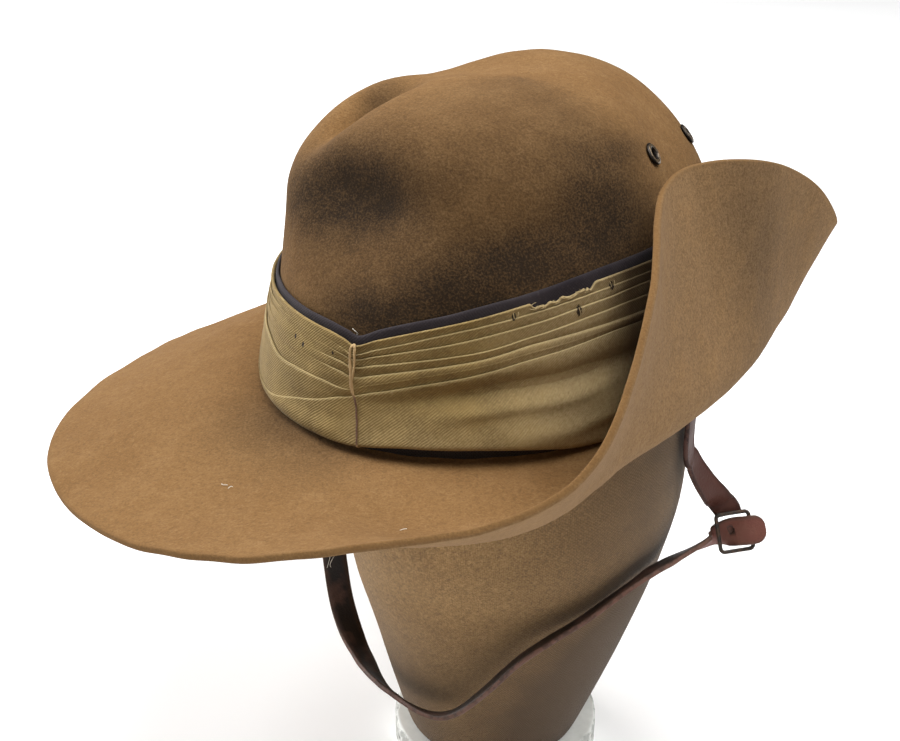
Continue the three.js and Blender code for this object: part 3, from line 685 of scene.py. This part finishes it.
PLEATS = {  # share of the band's height at each angle, and how far the fold stands proud there
    "lowest": ([.12, .069, .059, .08, .13, .245, .343, .446, .508, .522, .558, .592, .631, .657, .671, .669,
                .644, .613, .551, .4], [.1, .2, .4, .6, .8, 1, 1, 1, 1, 1, 1, 1, 1, 1, 1, 1, 1, 1, .9, .6]),
    "second": ([.66, .646, .617, .565, .513, .53, .541, .543, .589, .605, .633, .654, .681, .696, .701, .699,
                .673, .653, .641, .65], [1, 1, 1, 1, 1, 1, 1, .8, 0, 0, 0, 0, 0, 0, 0, 0, 0, .2, .5, .9]),
    "third": ([.74, .725, .712, .698, .69, .69, .695, .693, .683, .678, .683, .696, .728, .736, .731, .729,
               .712, .712, .731, .74], [.9, .6, .2, .1, .05, .1, .5, 1, 1, 1, 1, 1, 1, 1, 1, 1, 1, 1, 1, 1]),
    "fourth": ([.82, .804, .791, .788, .78, .775, .78, .79, .785, .765, .754, .756, .782, .807, .814, .816,
                .79, .791, .806, .815], [.9, .6, .4, .2, .05, .1, .5, 1, 1, 1, 1, 1, 1, 1, 1, 1, 1, 1, 1, 1]),
    "fifth": ([.88, .863, .86, .868, .87, .87, .869, .863, .86, .852, .852, .86, .866, .886, .887, .89,
               .867, .87, .881, .88], [.9, .6, .3, .4, .1, .05, .3, .7, 1, 1, 1, 1, 1, 1, 1, 1, 1, 1, 1, 1]),
    "top": ([.94, .925, .924, .933, .935, .935, .934, .921, .917, .92, .939, .94, .939, .944, .943, .944,
             .926, .935, .943, .94], [.9, .7, .6, .6, .3, .2, .3, .6, 1, 1, 1, 1, 1, 1, 1, 1, 1, 1, 1, 1]),
}
FOLD_DROP = 0.85
FOLD_BULGE = 0.18
GATHER_DEPTH, GATHER_SPACING, GATHER_WIDTH = 0.16, 4.6, 11  # millimetres, millimetres, degrees
PINCH_DEPTH, PINCH_WIDTH = 0.65, 3.2  # millimetres, degrees
FOLD_LIP = [  # up, back and how much painted highlight and rubbing, all as shares of the fold's depth
    (0, 0.05, 1), (0.22, 0.28, 1), (0.1, 0.52, 0.6), (-0.9, 0.58, 0), (-0.95, 0.8, 0), (0.05, FOLD_DROP, 0)]
KHAKI_STANDS_OFF = [  # share of the band's height, millimetres
    (0, 3.0), (0.02, 3.4), (0.05, 3.6), (0.1, 3.6), (0.3, 3.2), (0.55, 2.9), (1, 1.7)]
KHAKI_BACK = [  # share of the torn and of the whole height, millimetres above, stands off, how much painted highlight and rubbing
    (1, 0, 0.25, 1.45, 0.4), (1, 0, 0.3, 0.9, 0.4), (1, 0, 0, 0.45, 0), (0, 0.95, 0.4, 0.15, 0),
    (0, 0.7, 0.4, 0.15, 0), (0, 0.4, 0.4, 0.15, 0), (0, 0.1, 0.4, 0.15, 0), (0, 0.015, 0.4, 0.15, 0),
    (0, 0, 0.1, 0.5, 0), (0, 0, -0.1, 0.95, 0),
]
SOFT_FOLDS = [  # angle from, angle to, share from, share to, half width in shares, depth in millimetres
    (-70, -14, 0.40, 0.48, 0.09, -2.1), (-84, -34, -0.04, -0.02, 0.24, 3.6), (-46, -8, 0.12, 0.27, 0.1, 2.3),
    (-62, -16, 0.42, 0.50, 0.045, -1.4), (-58, -22, 0.29, 0.36, 0.05, 1.3),
    (-46, -18, 0.18, 0.25, 0.035, -0.6), (-26, 2, 0.11, 0.18, 0.04, -0.7), (-114, -84, 0.10, 0.12, 0.09, 1.1),
    (-40, -14, 0.33, 0.4, 0.04, 0.4), (-68, -40, 0.47, 0.53, 0.03, -0.4), (-78, -62, 0.42, 0.39, 0.03, -0.3),
    (-118, -100, 0.80, 0.78, 0.06, 0.35), (-104, -92, 0.88, 0.80, 0.04, -0.3),
    (-112, -94, 0.66, 0.63, 0.03, -0.3), (-124, -104, 0.36, 0.34, 0.05, -0.3),
    (-100, -84, 0.20, 0.28, 0.04, -0.2),
]
KHAKI_RIPPLES = [(0.20, 34, 41), (0.10, 12, 42)]
KHAKI_WAVE = (0.35, 40, 43)
KHAKI_FOOT_LIFT = (-57, 20, 4.0)  # angle, half width, millimetres
TEAR = (-41, -25)  # angle from, angle to
TEAR_DEPTH, TEAR_END = 2.3, 1.2  # millimetres, degrees
RAGS = 60
MOTH_HOLES = [  # angle, share, radius in millimetres
    (-20.9, 0.948, 1.0), (-29.3, 0.869, 1.2), (-44.2, 0.955, 0.8), (-102, 0.80, 0.55), (-98.5, 0.77, 0.6),
    (-88, 0.83, 0.45),
]


def ridge_off(share):
    return np.interp(share, *np.transpose(KHAKI_STANDS_OFF))


def moth_height(angle, share):
    top, low = band_edges(angle)
    return float(low + share * (top - low))


khaki_angles = np.concatenate([np.linspace(*span, endpoint=False) for span in KHAKI_SPANS])
cloth_off = navy_off + NAVY_THICKNESS + GAP
band_top, band_foot = band_edges(khaki_angles)
lift_angle, lift_width, lift_height = KHAKI_FOOT_LIFT
foot = band_foot + lift_height * np.exp(-((khaki_angles - lift_angle) / lift_width) ** 4)
tall = band_top - foot
torn = np.clip(np.minimum(khaki_angles - TEAR[0], TEAR[1] - khaki_angles) / TEAR_END, 0, 1)
chance = np.random.default_rng(31)
rag = np.interp(khaki_angles, np.linspace(-50, -20, RAGS), chance.uniform(0.35, 1.0, RAGS))
left_over = 1 - TEAR_DEPTH * torn * rag / tall

rows = []
low, low_depth = np.zeros((2, len(khaki_angles)))
band_end = (np.ones(len(PLEAT_ANGLES)), np.zeros(len(PLEAT_ANGLES)))
for number, (shares, depths) in enumerate([*PLEATS.values(), band_end]):
    ridge = np.clip(round_the_head(PLEAT_ANGLES, shares, khaki_angles), 0.02, left_over)
    depth = np.clip(round_the_head(PLEAT_ANGLES, depths, khaki_angles), 0, 1)
    steps = np.linspace(0, 1, 9)[1:-1] if number else np.linspace(0, 1, 26)[:-1]
    for step in steps:
        rise = low + (ridge - low) * step
        off = ridge_off(rise) - FOLD_DROP * low_depth * (1 - step) ** 0.8
        off += FOLD_BULGE * math.sin(math.pi * step) * depth * (number > 0)
        rows.append((rise * tall, off, np.clip((step - 0.8) / 0.2, 0, 1) * depth * 0.5))
    crest, face = ridge * tall, ridge_off(ridge)
    rows.append((crest - 0.25 * depth, face, depth * 0.8))
    if number < len(PLEATS):
        rows += [(crest + up * depth, face - back * depth, light * depth) for up, back, light in FOLD_LIP]
    low, low_depth = ridge, depth
front_rows = len(rows) + 1
for torn_share, share, up, off, light in KHAKI_BACK:
    rows.append(((torn_share * left_over + share) * tall + up, 0 * tall + off, 0 * tall + light))
heights, offs, ridges = np.swapaxes(rows, 0, 1)
shares = heights / tall
arc = np.radians(khaki_angles) * BAND_RADIUS
softness = waviness(np.stack([arc + 0 * heights, heights * 2.2, 0 * heights], axis=-1), *KHAKI_RIPPLES)
gather = bell((khaki_angles - V_ANGLE) / GATHER_WIDTH) * np.clip(shares - 0.25, 0, 0.5) * 2
softness += GATHER_DEPTH * gather * np.sin(heights * 2 * math.pi / GATHER_SPACING + 0.6)
for start, end, low, high, wide, depth in SOFT_FOLDS:
    along = np.clip((khaki_angles - start) / (end - start), -0.5, 1.5)
    fade = np.clip(np.minimum(along + 0.15, 1.15 - along) / 0.35, 0, 1)
    softness += depth * fade * bell((shares - low - (high - low) * along) / wide)
softness *= np.clip(shares / 0.03, 0, 1) * np.clip((1.02 - shares) / 0.08, 0.15, 1)
pinch = bell((khaki_angles - V_ANGLE) / PINCH_WIDTH)
softness -= PINCH_DEPTH * pinch * np.sin(math.pi * np.clip(shares, 0, 1)) ** 0.5
offs[:front_rows] += softness[:front_rows]
wave = waviness(np.stack([arc, 0 * arc, 0 * arc], axis=-1), KHAKI_WAVE)
heights = heights + wave * np.clip(shares - 0.3, 0, 1) * np.clip(1.2 - shares, 0, 1)
khaki_rings = wall_points(khaki_angles, foot + heights, cloth_off + offs)

drill_cloth = new_finish(
    "khaki cotton drill", Roughness=0.92, Specular_IOR_Level=0.2, Sheen_Weight=0.08, Sheen_Roughness=0.4)
cloth = place_group(drill_cloth, unrolled, radius=BAND_RADIUS)
blotches = place_group(drill_cloth, mottling, patch_size=13, grain_size=1.2)
steep = math.radians(TWILL_SLOPE)
slant = cloth["Round"] * math.sin(steep) - cloth["Up"] * math.cos(steep)
strays = (noise(drill_cloth, 5) - 0.5) * 0.9
wales = maths("SINE", (slant / TWILL_SPACING + strays) * (2 * math.pi)).spread(-1, 1)
# Painted highlight with some rubbing: the fold crests and the torn hem are lightened where light from above
# catches them.
ridge = marked(drill_cloth, "ridge")
faded = place_group(drill_cloth, edge_wear, edge=ridge, patch_size=4, reach=0.55)["Worn"]
# Painted light: the band is lightened near its foot in front and across its right part, speckled by the
# grain.
painted_light_low = cloth["Up"].spread(219, 206, 0, 0.3) * cloth["Round"].spread(5, 35)
painted_light = maths("MAXIMUM", painted_light_low, cloth["Round"].spread(50, 90, 0, 0.65)) * cloth["Round"].spread(250, 150)
colour = coated(
    KHAKI_DARK,
    (blotches["Patches"], KHAKI),
    (wales * blotches["Grain"].spread(0.2, 0.8, 0.05, 0.6), KHAKI_PALE),
    (faded * 0.42, KHAKI_RIDGE_HIGHLIGHT_AND_WEAR),
    (painted_light * blotches["Grain"].spread(0, 1, 0.5, 1.3), KHAKI_PAINTED_LIGHT),
    # Painted shadow of the turned-up flap on the band's right end.
    (cloth["Round"].spread(101, 115) * cloth["Round"].spread(180, 150, 0, 0.82), KHAKI_FLAP_SHADOW),
)
for angle, share, radius in MOTH_HOLES:
    turn = math.radians(angle + 90)
    place = math.atan2(HEAD_HALF_WIDTH * math.sin(turn), HEAD_HALF_LENGTH * math.cos(turn)) * BAND_RADIUS
    across = (cloth["Round"] - place) / radius
    up = (cloth["Up"] - (HAT_HEIGHT + moth_height(angle, share))) / (radius * 1.7)
    ragged = across * across + up * up + noise(drill_cloth, 0.7, 1) * 1.6
    colour = coated(colour, (ragged.spread(1.9, 1.4), MOTH_SHADOW))
set_finish(drill_cloth, Base_Color=colour, Normal=raised(wales + blotches["Grain"] * 0.6, 0.2, 0.7))
khaki_band = new_piece("khaki_band", joined_rings(khaki_rings + lift), drill_cloth, "khaki_cloth", "puggaree",
                       ridge=np.clip(ridges, 0, 1))

# Frayed threads: loose ends of the khaki cotton that stand out of the torn fold and the largest moth holes.
# They are single yarns, still held in the weave at one end.
FRAY_RADIUS = 0.13
FRAY_SIDES = 5
FRAY_COUNT = 34
FRAY_REACH = (0.8, 2.6)
FRAY_LEAN = 1.1
FRAY_BOW = 0.9
YARN_DARK = (0.30, 0.215, 0.10, 1)
YARN_PALE = (0.50, 0.39, 0.20, 1)


def cloth_face(angle, height):
    column = np.argmin(np.abs(khaki_angles - angle))
    climbing = np.maximum.accumulate(heights[:front_rows, column])
    return cloth_off + np.interp(height - foot[column], climbing, offs[:front_rows, column])


def cord(path, radii, sides):
    path = np.asarray(path, float)
    ahead = unit(np.gradient(path, axis=0))
    side = unit(np.cross(ahead, (0.31, 0.12, 0.94)))
    other = np.cross(ahead, side)
    turn = np.arange(sides) * 2 * math.pi / sides
    ring = np.cos(turn)[:, None, None] * side + np.sin(turn)[:, None, None] * other
    return path[:, None, :] + np.moveaxis(ring, 0, 1) * np.broadcast_to(radii, len(path))[:, None, None]


chance = np.random.default_rng(51)
frays = []
steps = np.linspace(0, 1, 7)
for _ in range(FRAY_COUNT):
    angle = chance.uniform(TEAR[0] - 1, TEAR[1] + 1)
    reach = chance.uniform(*FRAY_REACH)
    lean = chance.normal(0, FRAY_LEAN)
    bow = chance.uniform(0, FRAY_BOW) * np.sin(math.pi * steps)
    edge = np.interp(angle, khaki_angles, foot + left_over * tall)
    path = wall_points(angle + lean * steps ** 1.5, edge - 0.6 + reach * steps * (1 - 0.4 * steps),
                       cloth_off + 1.5 + bow + 0.3 * steps)
    frays.append(cord(path + lift, FRAY_RADIUS * (1 - 0.5 * steps), FRAY_SIDES))
steps = np.linspace(0, 1, 6)
for angle, share, _ in MOTH_HOLES[:3]:
    height = moth_height(angle, share)
    for side in (-1, 1):
        path = wall_points(angle + side * (0.25 + 0.35 * steps), height - 1.4 + 2.9 * steps,
                           cloth_face(angle, height) + 0.3 + 0.5 * np.sin(math.pi * steps))
        frays.append(cord(path + lift, FRAY_RADIUS, FRAY_SIDES))
yarn = new_finish("frayed khaki yarn", Roughness=0.95)
set_finish(yarn, Base_Color=coated(YARN_DARK, (noise(yarn, 3, 1).spread(0.35, 0.65), YARN_PALE)))
new_piece("frayed_threads", gathered(frays), yarn, "khaki_cloth")

# Lint: white cotton threads caught on the felt, the navy band and the strap.
# They only lie on the surface.
LINT = [  # x, y, z, bearing, rise, length
    (9.6, -93.4, 42.2, -150, 40, 2.2), (9.3, -93.6, 41.6, 60, 25, 1.8), (-5.3, -146.2, 0.2, 20, 0, 2.2),
    (-0.7, -147.6, 0.7, 70, 5, 1.8), (65.5, -134.9, 5.4, 30, 20, 2.4), (-71.9, -28.6, -118.5, -120, -75, 6),
    (-73.5, -29, -117.5, -100, -70, 8), (-74.9, -28.8, -118, -140, -78, 5),
]
LINT_BOW = 0.12
LINT_WHITE = (0.62, 0.58, 0.50, 1)
lint = []
steps = np.linspace(0, 1, 8)[:, None]
for x, y, z, bearing, rise, length in LINT:
    bow = np.sin(math.pi * steps) * chance.normal(0, LINT_BOW, 3)
    path = (x, y, z) + lift + length * (steps * pointing(bearing, rise) + bow)
    lint.append(cord(path, FRAY_RADIUS, FRAY_SIDES))
cotton = new_finish("white cotton thread", Roughness=0.9, Base_Color=LINT_WHITE)
new_piece("lint", gathered(lint), cotton, "khaki_cloth")

# Tie: a thin tan thong looped over the front V that gathers the khaki band.
# It is knotted behind the band; the lower end is darker and stops just above the brim.
TIE_SIDES = 12
TIE_ROWS = 160
TIE_BENDS = np.array([  # angle, height, stands off the cloth, radius
    (-78.1, 4.2, 0.3, 0.25), (-78.5, 8, 0.25, 0.32), (-79.3, 13.5, 0.3, 0.36), (-80.4, 21, 0.45, 0.4),
    (-81.3, 24, 0.6, 0.58), (-82.1, 30, 0.6, 0.55), (-82.7, 36.2, 0.7, 0.43), (-82.65, 38.4, 0.45, 0.43),
    (-82.3, 39.2, -0.6, 0.4), (-81.75, 38.7, 0.45, 0.43), (-81.5, 36.5, 0.7, 0.43), (-81.3, 31.5, 0.75, 0.43),
    (-81.5, 27.5, 0.5, 0.4), (-81.6, 24.5, 0.3, 0.28),
])
TIE_RIPPLE = (0.08, 3, 61)
TIE_TAN = (0.29, 0.18, 0.078, 1)
TIE_PALE = (0.44, 0.30, 0.14, 1)
TIE_STAINED = (0.115, 0.058, 0.034, 1)
tie_numbers = np.linspace(0, len(TIE_BENDS) - 1, TIE_ROWS)
tie_angles, tie_heights, tie_proud, tie_radii = between_rows(TIE_BENDS, tie_numbers).T
band_top, band_foot = band_edges(tie_angles)
tie_shares = np.clip((tie_heights - band_foot) / (band_top - band_foot), 0, 1)
tie_face = [cloth_face(angle, height) for angle, height in zip(tie_angles, tie_heights)]
tie_off = np.maximum(tie_face, cloth_off + ridge_off(tie_shares) - 0.35) + tie_proud
tie_rings = cord(wall_points(tie_angles, tie_heights, tie_off) + lift, tie_radii, TIE_SIDES)
tie_rings += waviness(tie_rings, TIE_RIPPLE)[..., None]
low_end = np.clip((23 - tie_heights) / 2, 0, 1) * np.clip((tie_heights - 5) / 1.5, 0, 1)
low_end *= np.arange(TIE_ROWS) < TIE_ROWS / 2

thong = new_finish("tan thong", Roughness=0.55, Specular_IOR_Level=0.4)
smear = noise(thong, 4, 3).spread(0.3, 0.7)
colour = coated(TIE_TAN, (smear, TIE_PALE), (marked(thong, "low_end"), TIE_STAINED))
set_finish(thong, Base_Color=colour, Normal=raised(noise(thong, 0.8), 0.2))
new_piece("band_tie", capped(tie_rings), thong, "thong", "puggaree_tie",
          low_end=np.repeat(low_end, TIE_SIDES))

# Chin strap, long part: a strip of brown leather stitched inside the hat on the wearer's right.
# It hangs under the brim, twists round the stand and ends in a rounded tip through the buckle.
STRAP_WIDTH = 11
STRAP_THICKNESS = 2
STRAP_STEPS = 14
STRAP_RIPPLE = (0.12, 13, 71)
STRAP_SECTION = np.array([  # share of the half width, share of the half thickness
    (1, 0.35), (0.98, 0.75), (0.93, 1), (0.8, 1.06), (0.72, 0.9), (0.6, 1.02), (0.3, 1.05), (-0.3, 1.05),
    (-0.6, 1.02), (-0.72, 0.9), (-0.8, 1.06), (-0.93, 1), (-0.98, 0.75), (-1, 0.35), (-1, -0.35),
    (-0.98, -0.75), (-0.93, -1), (-0.5, -1.03), (0, -1.03), (0.5, -1.03), (0.93, -1), (0.98, -0.75),
    (1, -0.35),
])
LONG_STRAP_SEAT = (194.8, 16, 4)  # angle, top, foot
LONG_STRAP = [  # x, y, z, bearing and rise of the width
    (-77.4, -25.8, -40, -106, 0), (-76.6, -26.3, -90, -126, 0), (-72.9, -27.2, -121.2, -132, 0),
    (-62, -33.8, -139.7, -128, -4), (-43.3, -42.8, -150.2, -93, 19), (-14.7, -55.4, -149.6, -48, 37),
    (22.1, -59.3, -139.6, -49, 32), (52.8, -49.6, -100.9, -50, 27), (66.9, -31.5, -86.9, -50, 27),
    (76.5, -8, -76.6, -50, 27), (78, 12.8, -77.2, -50, 27),
]
LONG_STRAP_END = [  # right, up, out in the buckle's frame, width's up and out, width
    (-13, -3.6, -5, 0.25, 0.97, 11), (-7.5, -2, -6.3, 0.6, 0.8, 11), (-3.4, -0.7, -3.6, 0.92, 0.4, 11.4),
    (0.6, 0, -0.4, 1, 0, 11.8), (4, 0, 1.8, 1, 0, 11.8), (6.7, 0, 2.6, 1, 0, 11.8), (9.3, 0, 2.7, 1, 0, 11),
    (11.2, 0, 2.6, 1, 0, 8), (12, 0, 2.5, 1, 0, 4),
]
STRAP_HOLE = [(1.4, -1.2), (1.4, 4)]  # radius, height of the punch
STRAP_HOLE_PLACE = (-1.3, 0.7, 0)
# The long strap's inner face is a near-black painted shade, darker than the leather itself.
LONG_STRAP_LOOK = {
    "outer": (0.118, 0.040, 0.028, 1), "inner": (0.013, 0.008, 0.006, 1),
    "edges": (0.062, 0.034, 0.024, 1), "worn": (0.165, 0.080, 0.056, 1), "roughness": 0.55,
}
BUCKLE_PLACE = np.array([92, 38.5, -70.3])
BUCKLE_BEARING, BUCKLE_RISE, BUCKLE_ROLL = -50, 27, 9

buckle_out = pointing(BUCKLE_BEARING, BUCKLE_RISE)
level_right = unit(np.cross((0, 0, 1), buckle_out))
roll = math.radians(BUCKLE_ROLL)
buckle_right = level_right * math.cos(roll) + np.cross(buckle_out, level_right) * math.sin(roll)
buckle_axes = np.array([buckle_right, np.cross(buckle_out, buckle_right), buckle_out])


def seat_rows(angle, top, foot):
    off = -(FELT_THICKNESS + STRAP_THICKNESS) / 2 - 2 * GAP
    way = np.cross((0, 0, 1), outward_at(angle))
    return [(*wall_points(angle, height, off), *way, STRAP_WIDTH) for height in (top, foot)]


def strap_rows(table):
    return [(x, y, z, *pointing(bearing, rise), STRAP_WIDTH) for x, y, z, bearing, rise in table]


def buckle_row(right, up, out, way, width):
    return (*(BUCKLE_PLACE + np.array([right, up, out]) @ buckle_axes), *(np.array(way) @ buckle_axes), width)


def strap_leather(name, outer, inner, edges, worn, roughness):
    leather = new_finish(name, Specular_IOR_Level=0.22)
    edge = marked(leather, "edge")
    blotches = place_group(leather, mottling, patch_size=14, grain_size=1)
    rubbed = place_group(leather, edge_wear, edge=edge, patch_size=4, reach=0.1)["Worn"]
    scuffs = blotches["Patches"].spread(0.5, 1, 0, 0.5)
    colour = coated(inner, (marked(leather, "face"), outer), (scuffs, worn), (edge * 0.9, edges),
                    (rubbed * 0.5, worn))
    place = add_node(leather, "ShaderNodeTexCoord", output="Object")
    cells = add_node(leather, "ShaderNodeTexVoronoi", {"Vector": place, "Scale": 1 / (0.9 * MM)}, "Distance")
    set_finish(leather, Base_Color=colour, Normal=raised(cells + blotches["Grain"], 0.12, 0.6),
               Roughness=blotches["Patches"].spread(0, 1, roughness - 0.12, roughness + 0.15))
    return leather


def new_strap(name, table, leather, slot, node):
    table = np.array(table)
    last = len(table) - 1
    numbers = np.linspace(0, last, last * STRAP_STEPS + 1)
    rows = between_rows(table, numbers)
    before, after = (between_rows(table[:, :3], np.clip(numbers + k, 0, last)) for k in (-0.05, 0.05))
    ahead = unit(after - before)
    way = unit(rows[:, 3:6] - ahead * np.sum(rows[:, 3:6] * ahead, axis=1, keepdims=True))
    through = np.cross(ahead, way)[:, None, :]
    across = STRAP_SECTION[:, 0] * rows[:, 6:] / 2
    rings = rows[:, None, :3] + across[..., None] * way[:, None, :]
    rings = rings + STRAP_SECTION[:, 1:] * STRAP_THICKNESS / 2 * through
    rings += waviness(rings, STRAP_RIPPLE)[..., None] * through
    edge = np.clip((np.abs(STRAP_SECTION[:, 0]) - 0.7) / 0.3, 0, 1)
    return new_piece(name, capped(rings + lift), leather, slot, node, edge=np.tile(edge, len(rows)),
                     face=np.tile(STRAP_SECTION[:, 1] > 0, len(rows)))


long_table = [*seat_rows(*LONG_STRAP_SEAT), *strap_rows(LONG_STRAP)]
long_table += [buckle_row(right, up, out, (0, width_up, width_out), width)
               for right, up, out, width_up, width_out, width in LONG_STRAP_END]
dark_leather = strap_leather("worn brown strap leather", **LONG_STRAP_LOOK)
long_strap = new_strap("chin_strap_long", long_table, dark_leather, "dark_leather", "strap_long")
# The punched hole's walls take the dark inner colour, a painted shade inside the hole.
punch = turned(STRAP_HOLE, HOLE_STEPS) + STRAP_HOLE_PLACE
drill_out(long_strap, [punch @ buckle_axes + BUCKLE_PLACE + lift])

# Chin strap, short part: a short red-brown leather tab stitched inside the hat on the wearer's left.
# It hangs behind the turned-up brim and carries the buckle in a fold at its end.
SHORT_STRAP_SEAT = (13.8, 16, 4)  # angle, top, foot
SHORT_STRAP = [  # x, y, z, bearing and rise of the width
    (76.4, 23, -28.6, 108, 0), (77.2, 25.9, -36.9, 102, 4), (79.8, 29.7, -45.5, 90, 8),
    (82.6, 34.6, -53.7, 76, 8),
]
SHORT_STRAP_END = [(-3.4, 13, -1.6), (-1.3, 9.4, -2.3), (-1, 6.9, -2.4)]  # right, up, out from the buckle
SHORT_STRAP_LOOK = {
    "outer": (0.052, 0.0155, 0.0090, 1), "inner": (0.052, 0.0155, 0.0090, 1),
    "edges": (0.020, 0.008, 0.005, 1), "worn": (0.115, 0.050, 0.036, 1), "roughness": 0.6,
}
short_table = [*seat_rows(*SHORT_STRAP_SEAT), *strap_rows(SHORT_STRAP)]
short_table += [buckle_row(right, up, out, (1, 0, 0), STRAP_WIDTH) for right, up, out in SHORT_STRAP_END]
red_leather = strap_leather("worn red-brown tab leather", **SHORT_STRAP_LOOK)
new_strap("chin_strap_short", short_table, red_leather, "red_leather", "strap_short")

# Slide buckle: a rectangle of flat steel wire, lacquered dark and rubbed bright along its edges.
# The short tab folds over its upper bar and the long strap runs through it.
BUCKLE_WIDE = 15
BUCKLE_TALL = 17
BUCKLE_BAR = 1.6
BUCKLE_CORNER = 1.7
WIRE_SIDES = 20
BUCKLE_DARK = (0.030, 0.024, 0.020, 1)
BUCKLE_RUST = (0.085, 0.045, 0.026, 1)
BUCKLE_BRIGHT = (0.33, 0.27, 0.20, 1)
half_wide, half_tall = (BUCKLE_WIDE - BUCKLE_BAR) / 2, (BUCKLE_TALL - BUCKLE_BAR) / 2
buckle_path = []
for corner_x, corner_y, start in ((1, 1, 0), (-1, 1, 90), (-1, -1, 180), (1, -1, 270)):
    middle = (corner_x * (half_wide - BUCKLE_CORNER), corner_y * (half_tall - BUCKLE_CORNER))
    buckle_path += rounded_corner(middle, BUCKLE_CORNER, start, start + 90, 8)
buckle_path = np.array(buckle_path)
wire_way = unit(np.roll(buckle_path, -1, axis=0) - np.roll(buckle_path, 1, axis=0))
wire_out = np.stack([wire_way[:, 1], -wire_way[:, 0]], axis=-1)
wire_turn = np.arange(WIRE_SIDES) * 2 * math.pi / WIRE_SIDES
square = 1 / np.maximum(np.abs(np.cos(wire_turn)), np.abs(np.sin(wire_turn))) ** 0.6
wire_across, wire_through = (way(wire_turn) * square * BUCKLE_BAR / 2 for way in (np.cos, np.sin))
buckle_flat = buckle_path[:, None, :] + wire_across[:, None] * wire_out[:, None, :]
buckle_through = np.broadcast_to(wire_through[:, None], (*buckle_flat.shape[:2], 1))
buckle_rings = np.concatenate([buckle_flat, buckle_through], axis=-1) @ buckle_axes + BUCKLE_PLACE + lift
corners = np.tile(np.clip((square - 1.05) / 0.15, 0, 1), len(buckle_path))

buckle_metal = new_finish("worn dark lacquered wire", Metallic=0.6)
edge = marked(buckle_metal, "edge")
rubbed = place_group(buckle_metal, edge_wear, edge=edge, patch_size=3, reach=0.3)["Worn"]
rust = noise(buckle_metal, 2.2, 4).spread(0.45, 0.7)
set_finish(buckle_metal, Base_Color=coated(BUCKLE_DARK, (rust, BUCKLE_RUST), (rubbed, BUCKLE_BRIGHT)),
           Roughness=rubbed.spread(0, 1, 0.5, 0.3))
new_piece("slide_buckle", joined_rings(buckle_rings), buckle_metal, "buckle_metal", "buckle", edge=corners)

# Studio: a plain white floor in soft window light from the left, with a light overhead and one from behind.
# A weak fill and the bright floor beside the stand lift the shade, and the backdrop is a plain grey.
# The camera stands in front of the turned-up side and looks down on the hat.
CAMERA_TURN = 40
CAMERA_RISE = 26.8
CAMERA_DISTANCE = 0.600
CAMERA_RIGHT = -0.02077
CAMERA_UP = -0.01042
CAMERA_LENS = 59.4
CAMERA_SENSOR = 36
LIGHTS = [  # name, place, aim, size, watts
    ("overhead light", (0.42, 0.05, 1.75), (0, 0, 0.2), 1.2, 36),
    ("window light", (-1.9, -0.4, 0.95), (0, 0, 0.2), 1.6, 52),
    ("high window light", (-1.15, -0.35, 1.45), (0, 0, 0.2), 1.2, 16),
    ("camera side fill", (1.1, -1.3, 0.75), (0, 0, 0.2), 1.0, 6),
    ("bright floor beside", (0.75, 0.1, 0.004), (0.75, 0.1, 1), 0.7, 3),
    ("back light", (0.9, 1.2, 1.5), (0, 0, 0.2), 1.2, 16),
]
FILL_STRENGTH = 0.03
BACKDROP_STRENGTH = 0.14
FLOOR_SIZE = 9
FLOOR_GLOW = 0.1
FLOOR_WHITE = (0.92, 0.92, 0.92, 1)

right = pointing(CAMERA_TURN)
back = pointing(CAMERA_TURN - 90, CAMERA_RISE)
up = np.cross(back, right)
stands = lift * MM + CAMERA_DISTANCE * back + CAMERA_RIGHT * right + CAMERA_UP * up
matrix = np.eye(4)
matrix[:3] = np.transpose([right, up, back, stands])
camera = bpy.data.objects.new("camera", bpy.data.cameras.new("camera"))
camera.data.lens = CAMERA_LENS
camera.data.sensor_width = CAMERA_SENSOR
camera.matrix_world = matrix.T.tolist()
bpy.context.collection.objects.link(camera)
bpy.context.scene.camera = camera

for name, place, aim, size, watts in LIGHTS:
    lamp = bpy.data.lights.new(name, "AREA")
    lamp.size = size
    lamp.energy = watts
    light = bpy.data.objects.new(name, lamp)
    light.location = place
    way = np.array(aim) - np.array(place)
    tilt = math.atan2(math.hypot(way[0], way[1]), -way[2])
    light.rotation_euler = (tilt, 0, math.atan2(way[1], way[0]) - math.pi / 2)
    bpy.context.collection.objects.link(light)

world = bpy.data.worlds.new("even fill")
world.use_nodes = True
backdrop = world.node_tree.nodes["Background"].inputs
seen_directly = add_node(world, "ShaderNodeLightPath", output="Is Camera Ray")
feed(backdrop["Color"], (1, 1, 1, 1))
feed(backdrop["Strength"], seen_directly.spread(0, 1, FILL_STRENGTH, BACKDROP_STRENGTH))
bpy.context.scene.world = world
bpy.context.scene.view_settings.view_transform = "Standard"

white = new_finish("white studio floor", Roughness=0.9, Base_Color=FLOOR_WHITE,
                   Emission_Color=(1, 1, 1, 1), Emission_Strength=FLOOR_GLOW)
floor_mesh = bpy.data.meshes.new("studio_floor")
reach = FLOOR_SIZE / 2
floor_corners = [(-reach, -reach, 0), (reach, -reach, 0), (reach, reach, 0), (-reach, reach, 0)]
floor_mesh.from_pydata(floor_corners, [], [(0, 1, 2, 3)])
floor_mesh.materials.append(white)
floor = bpy.data.objects.new("studio_floor", floor_mesh)
bpy.context.collection.objects.link(floor)
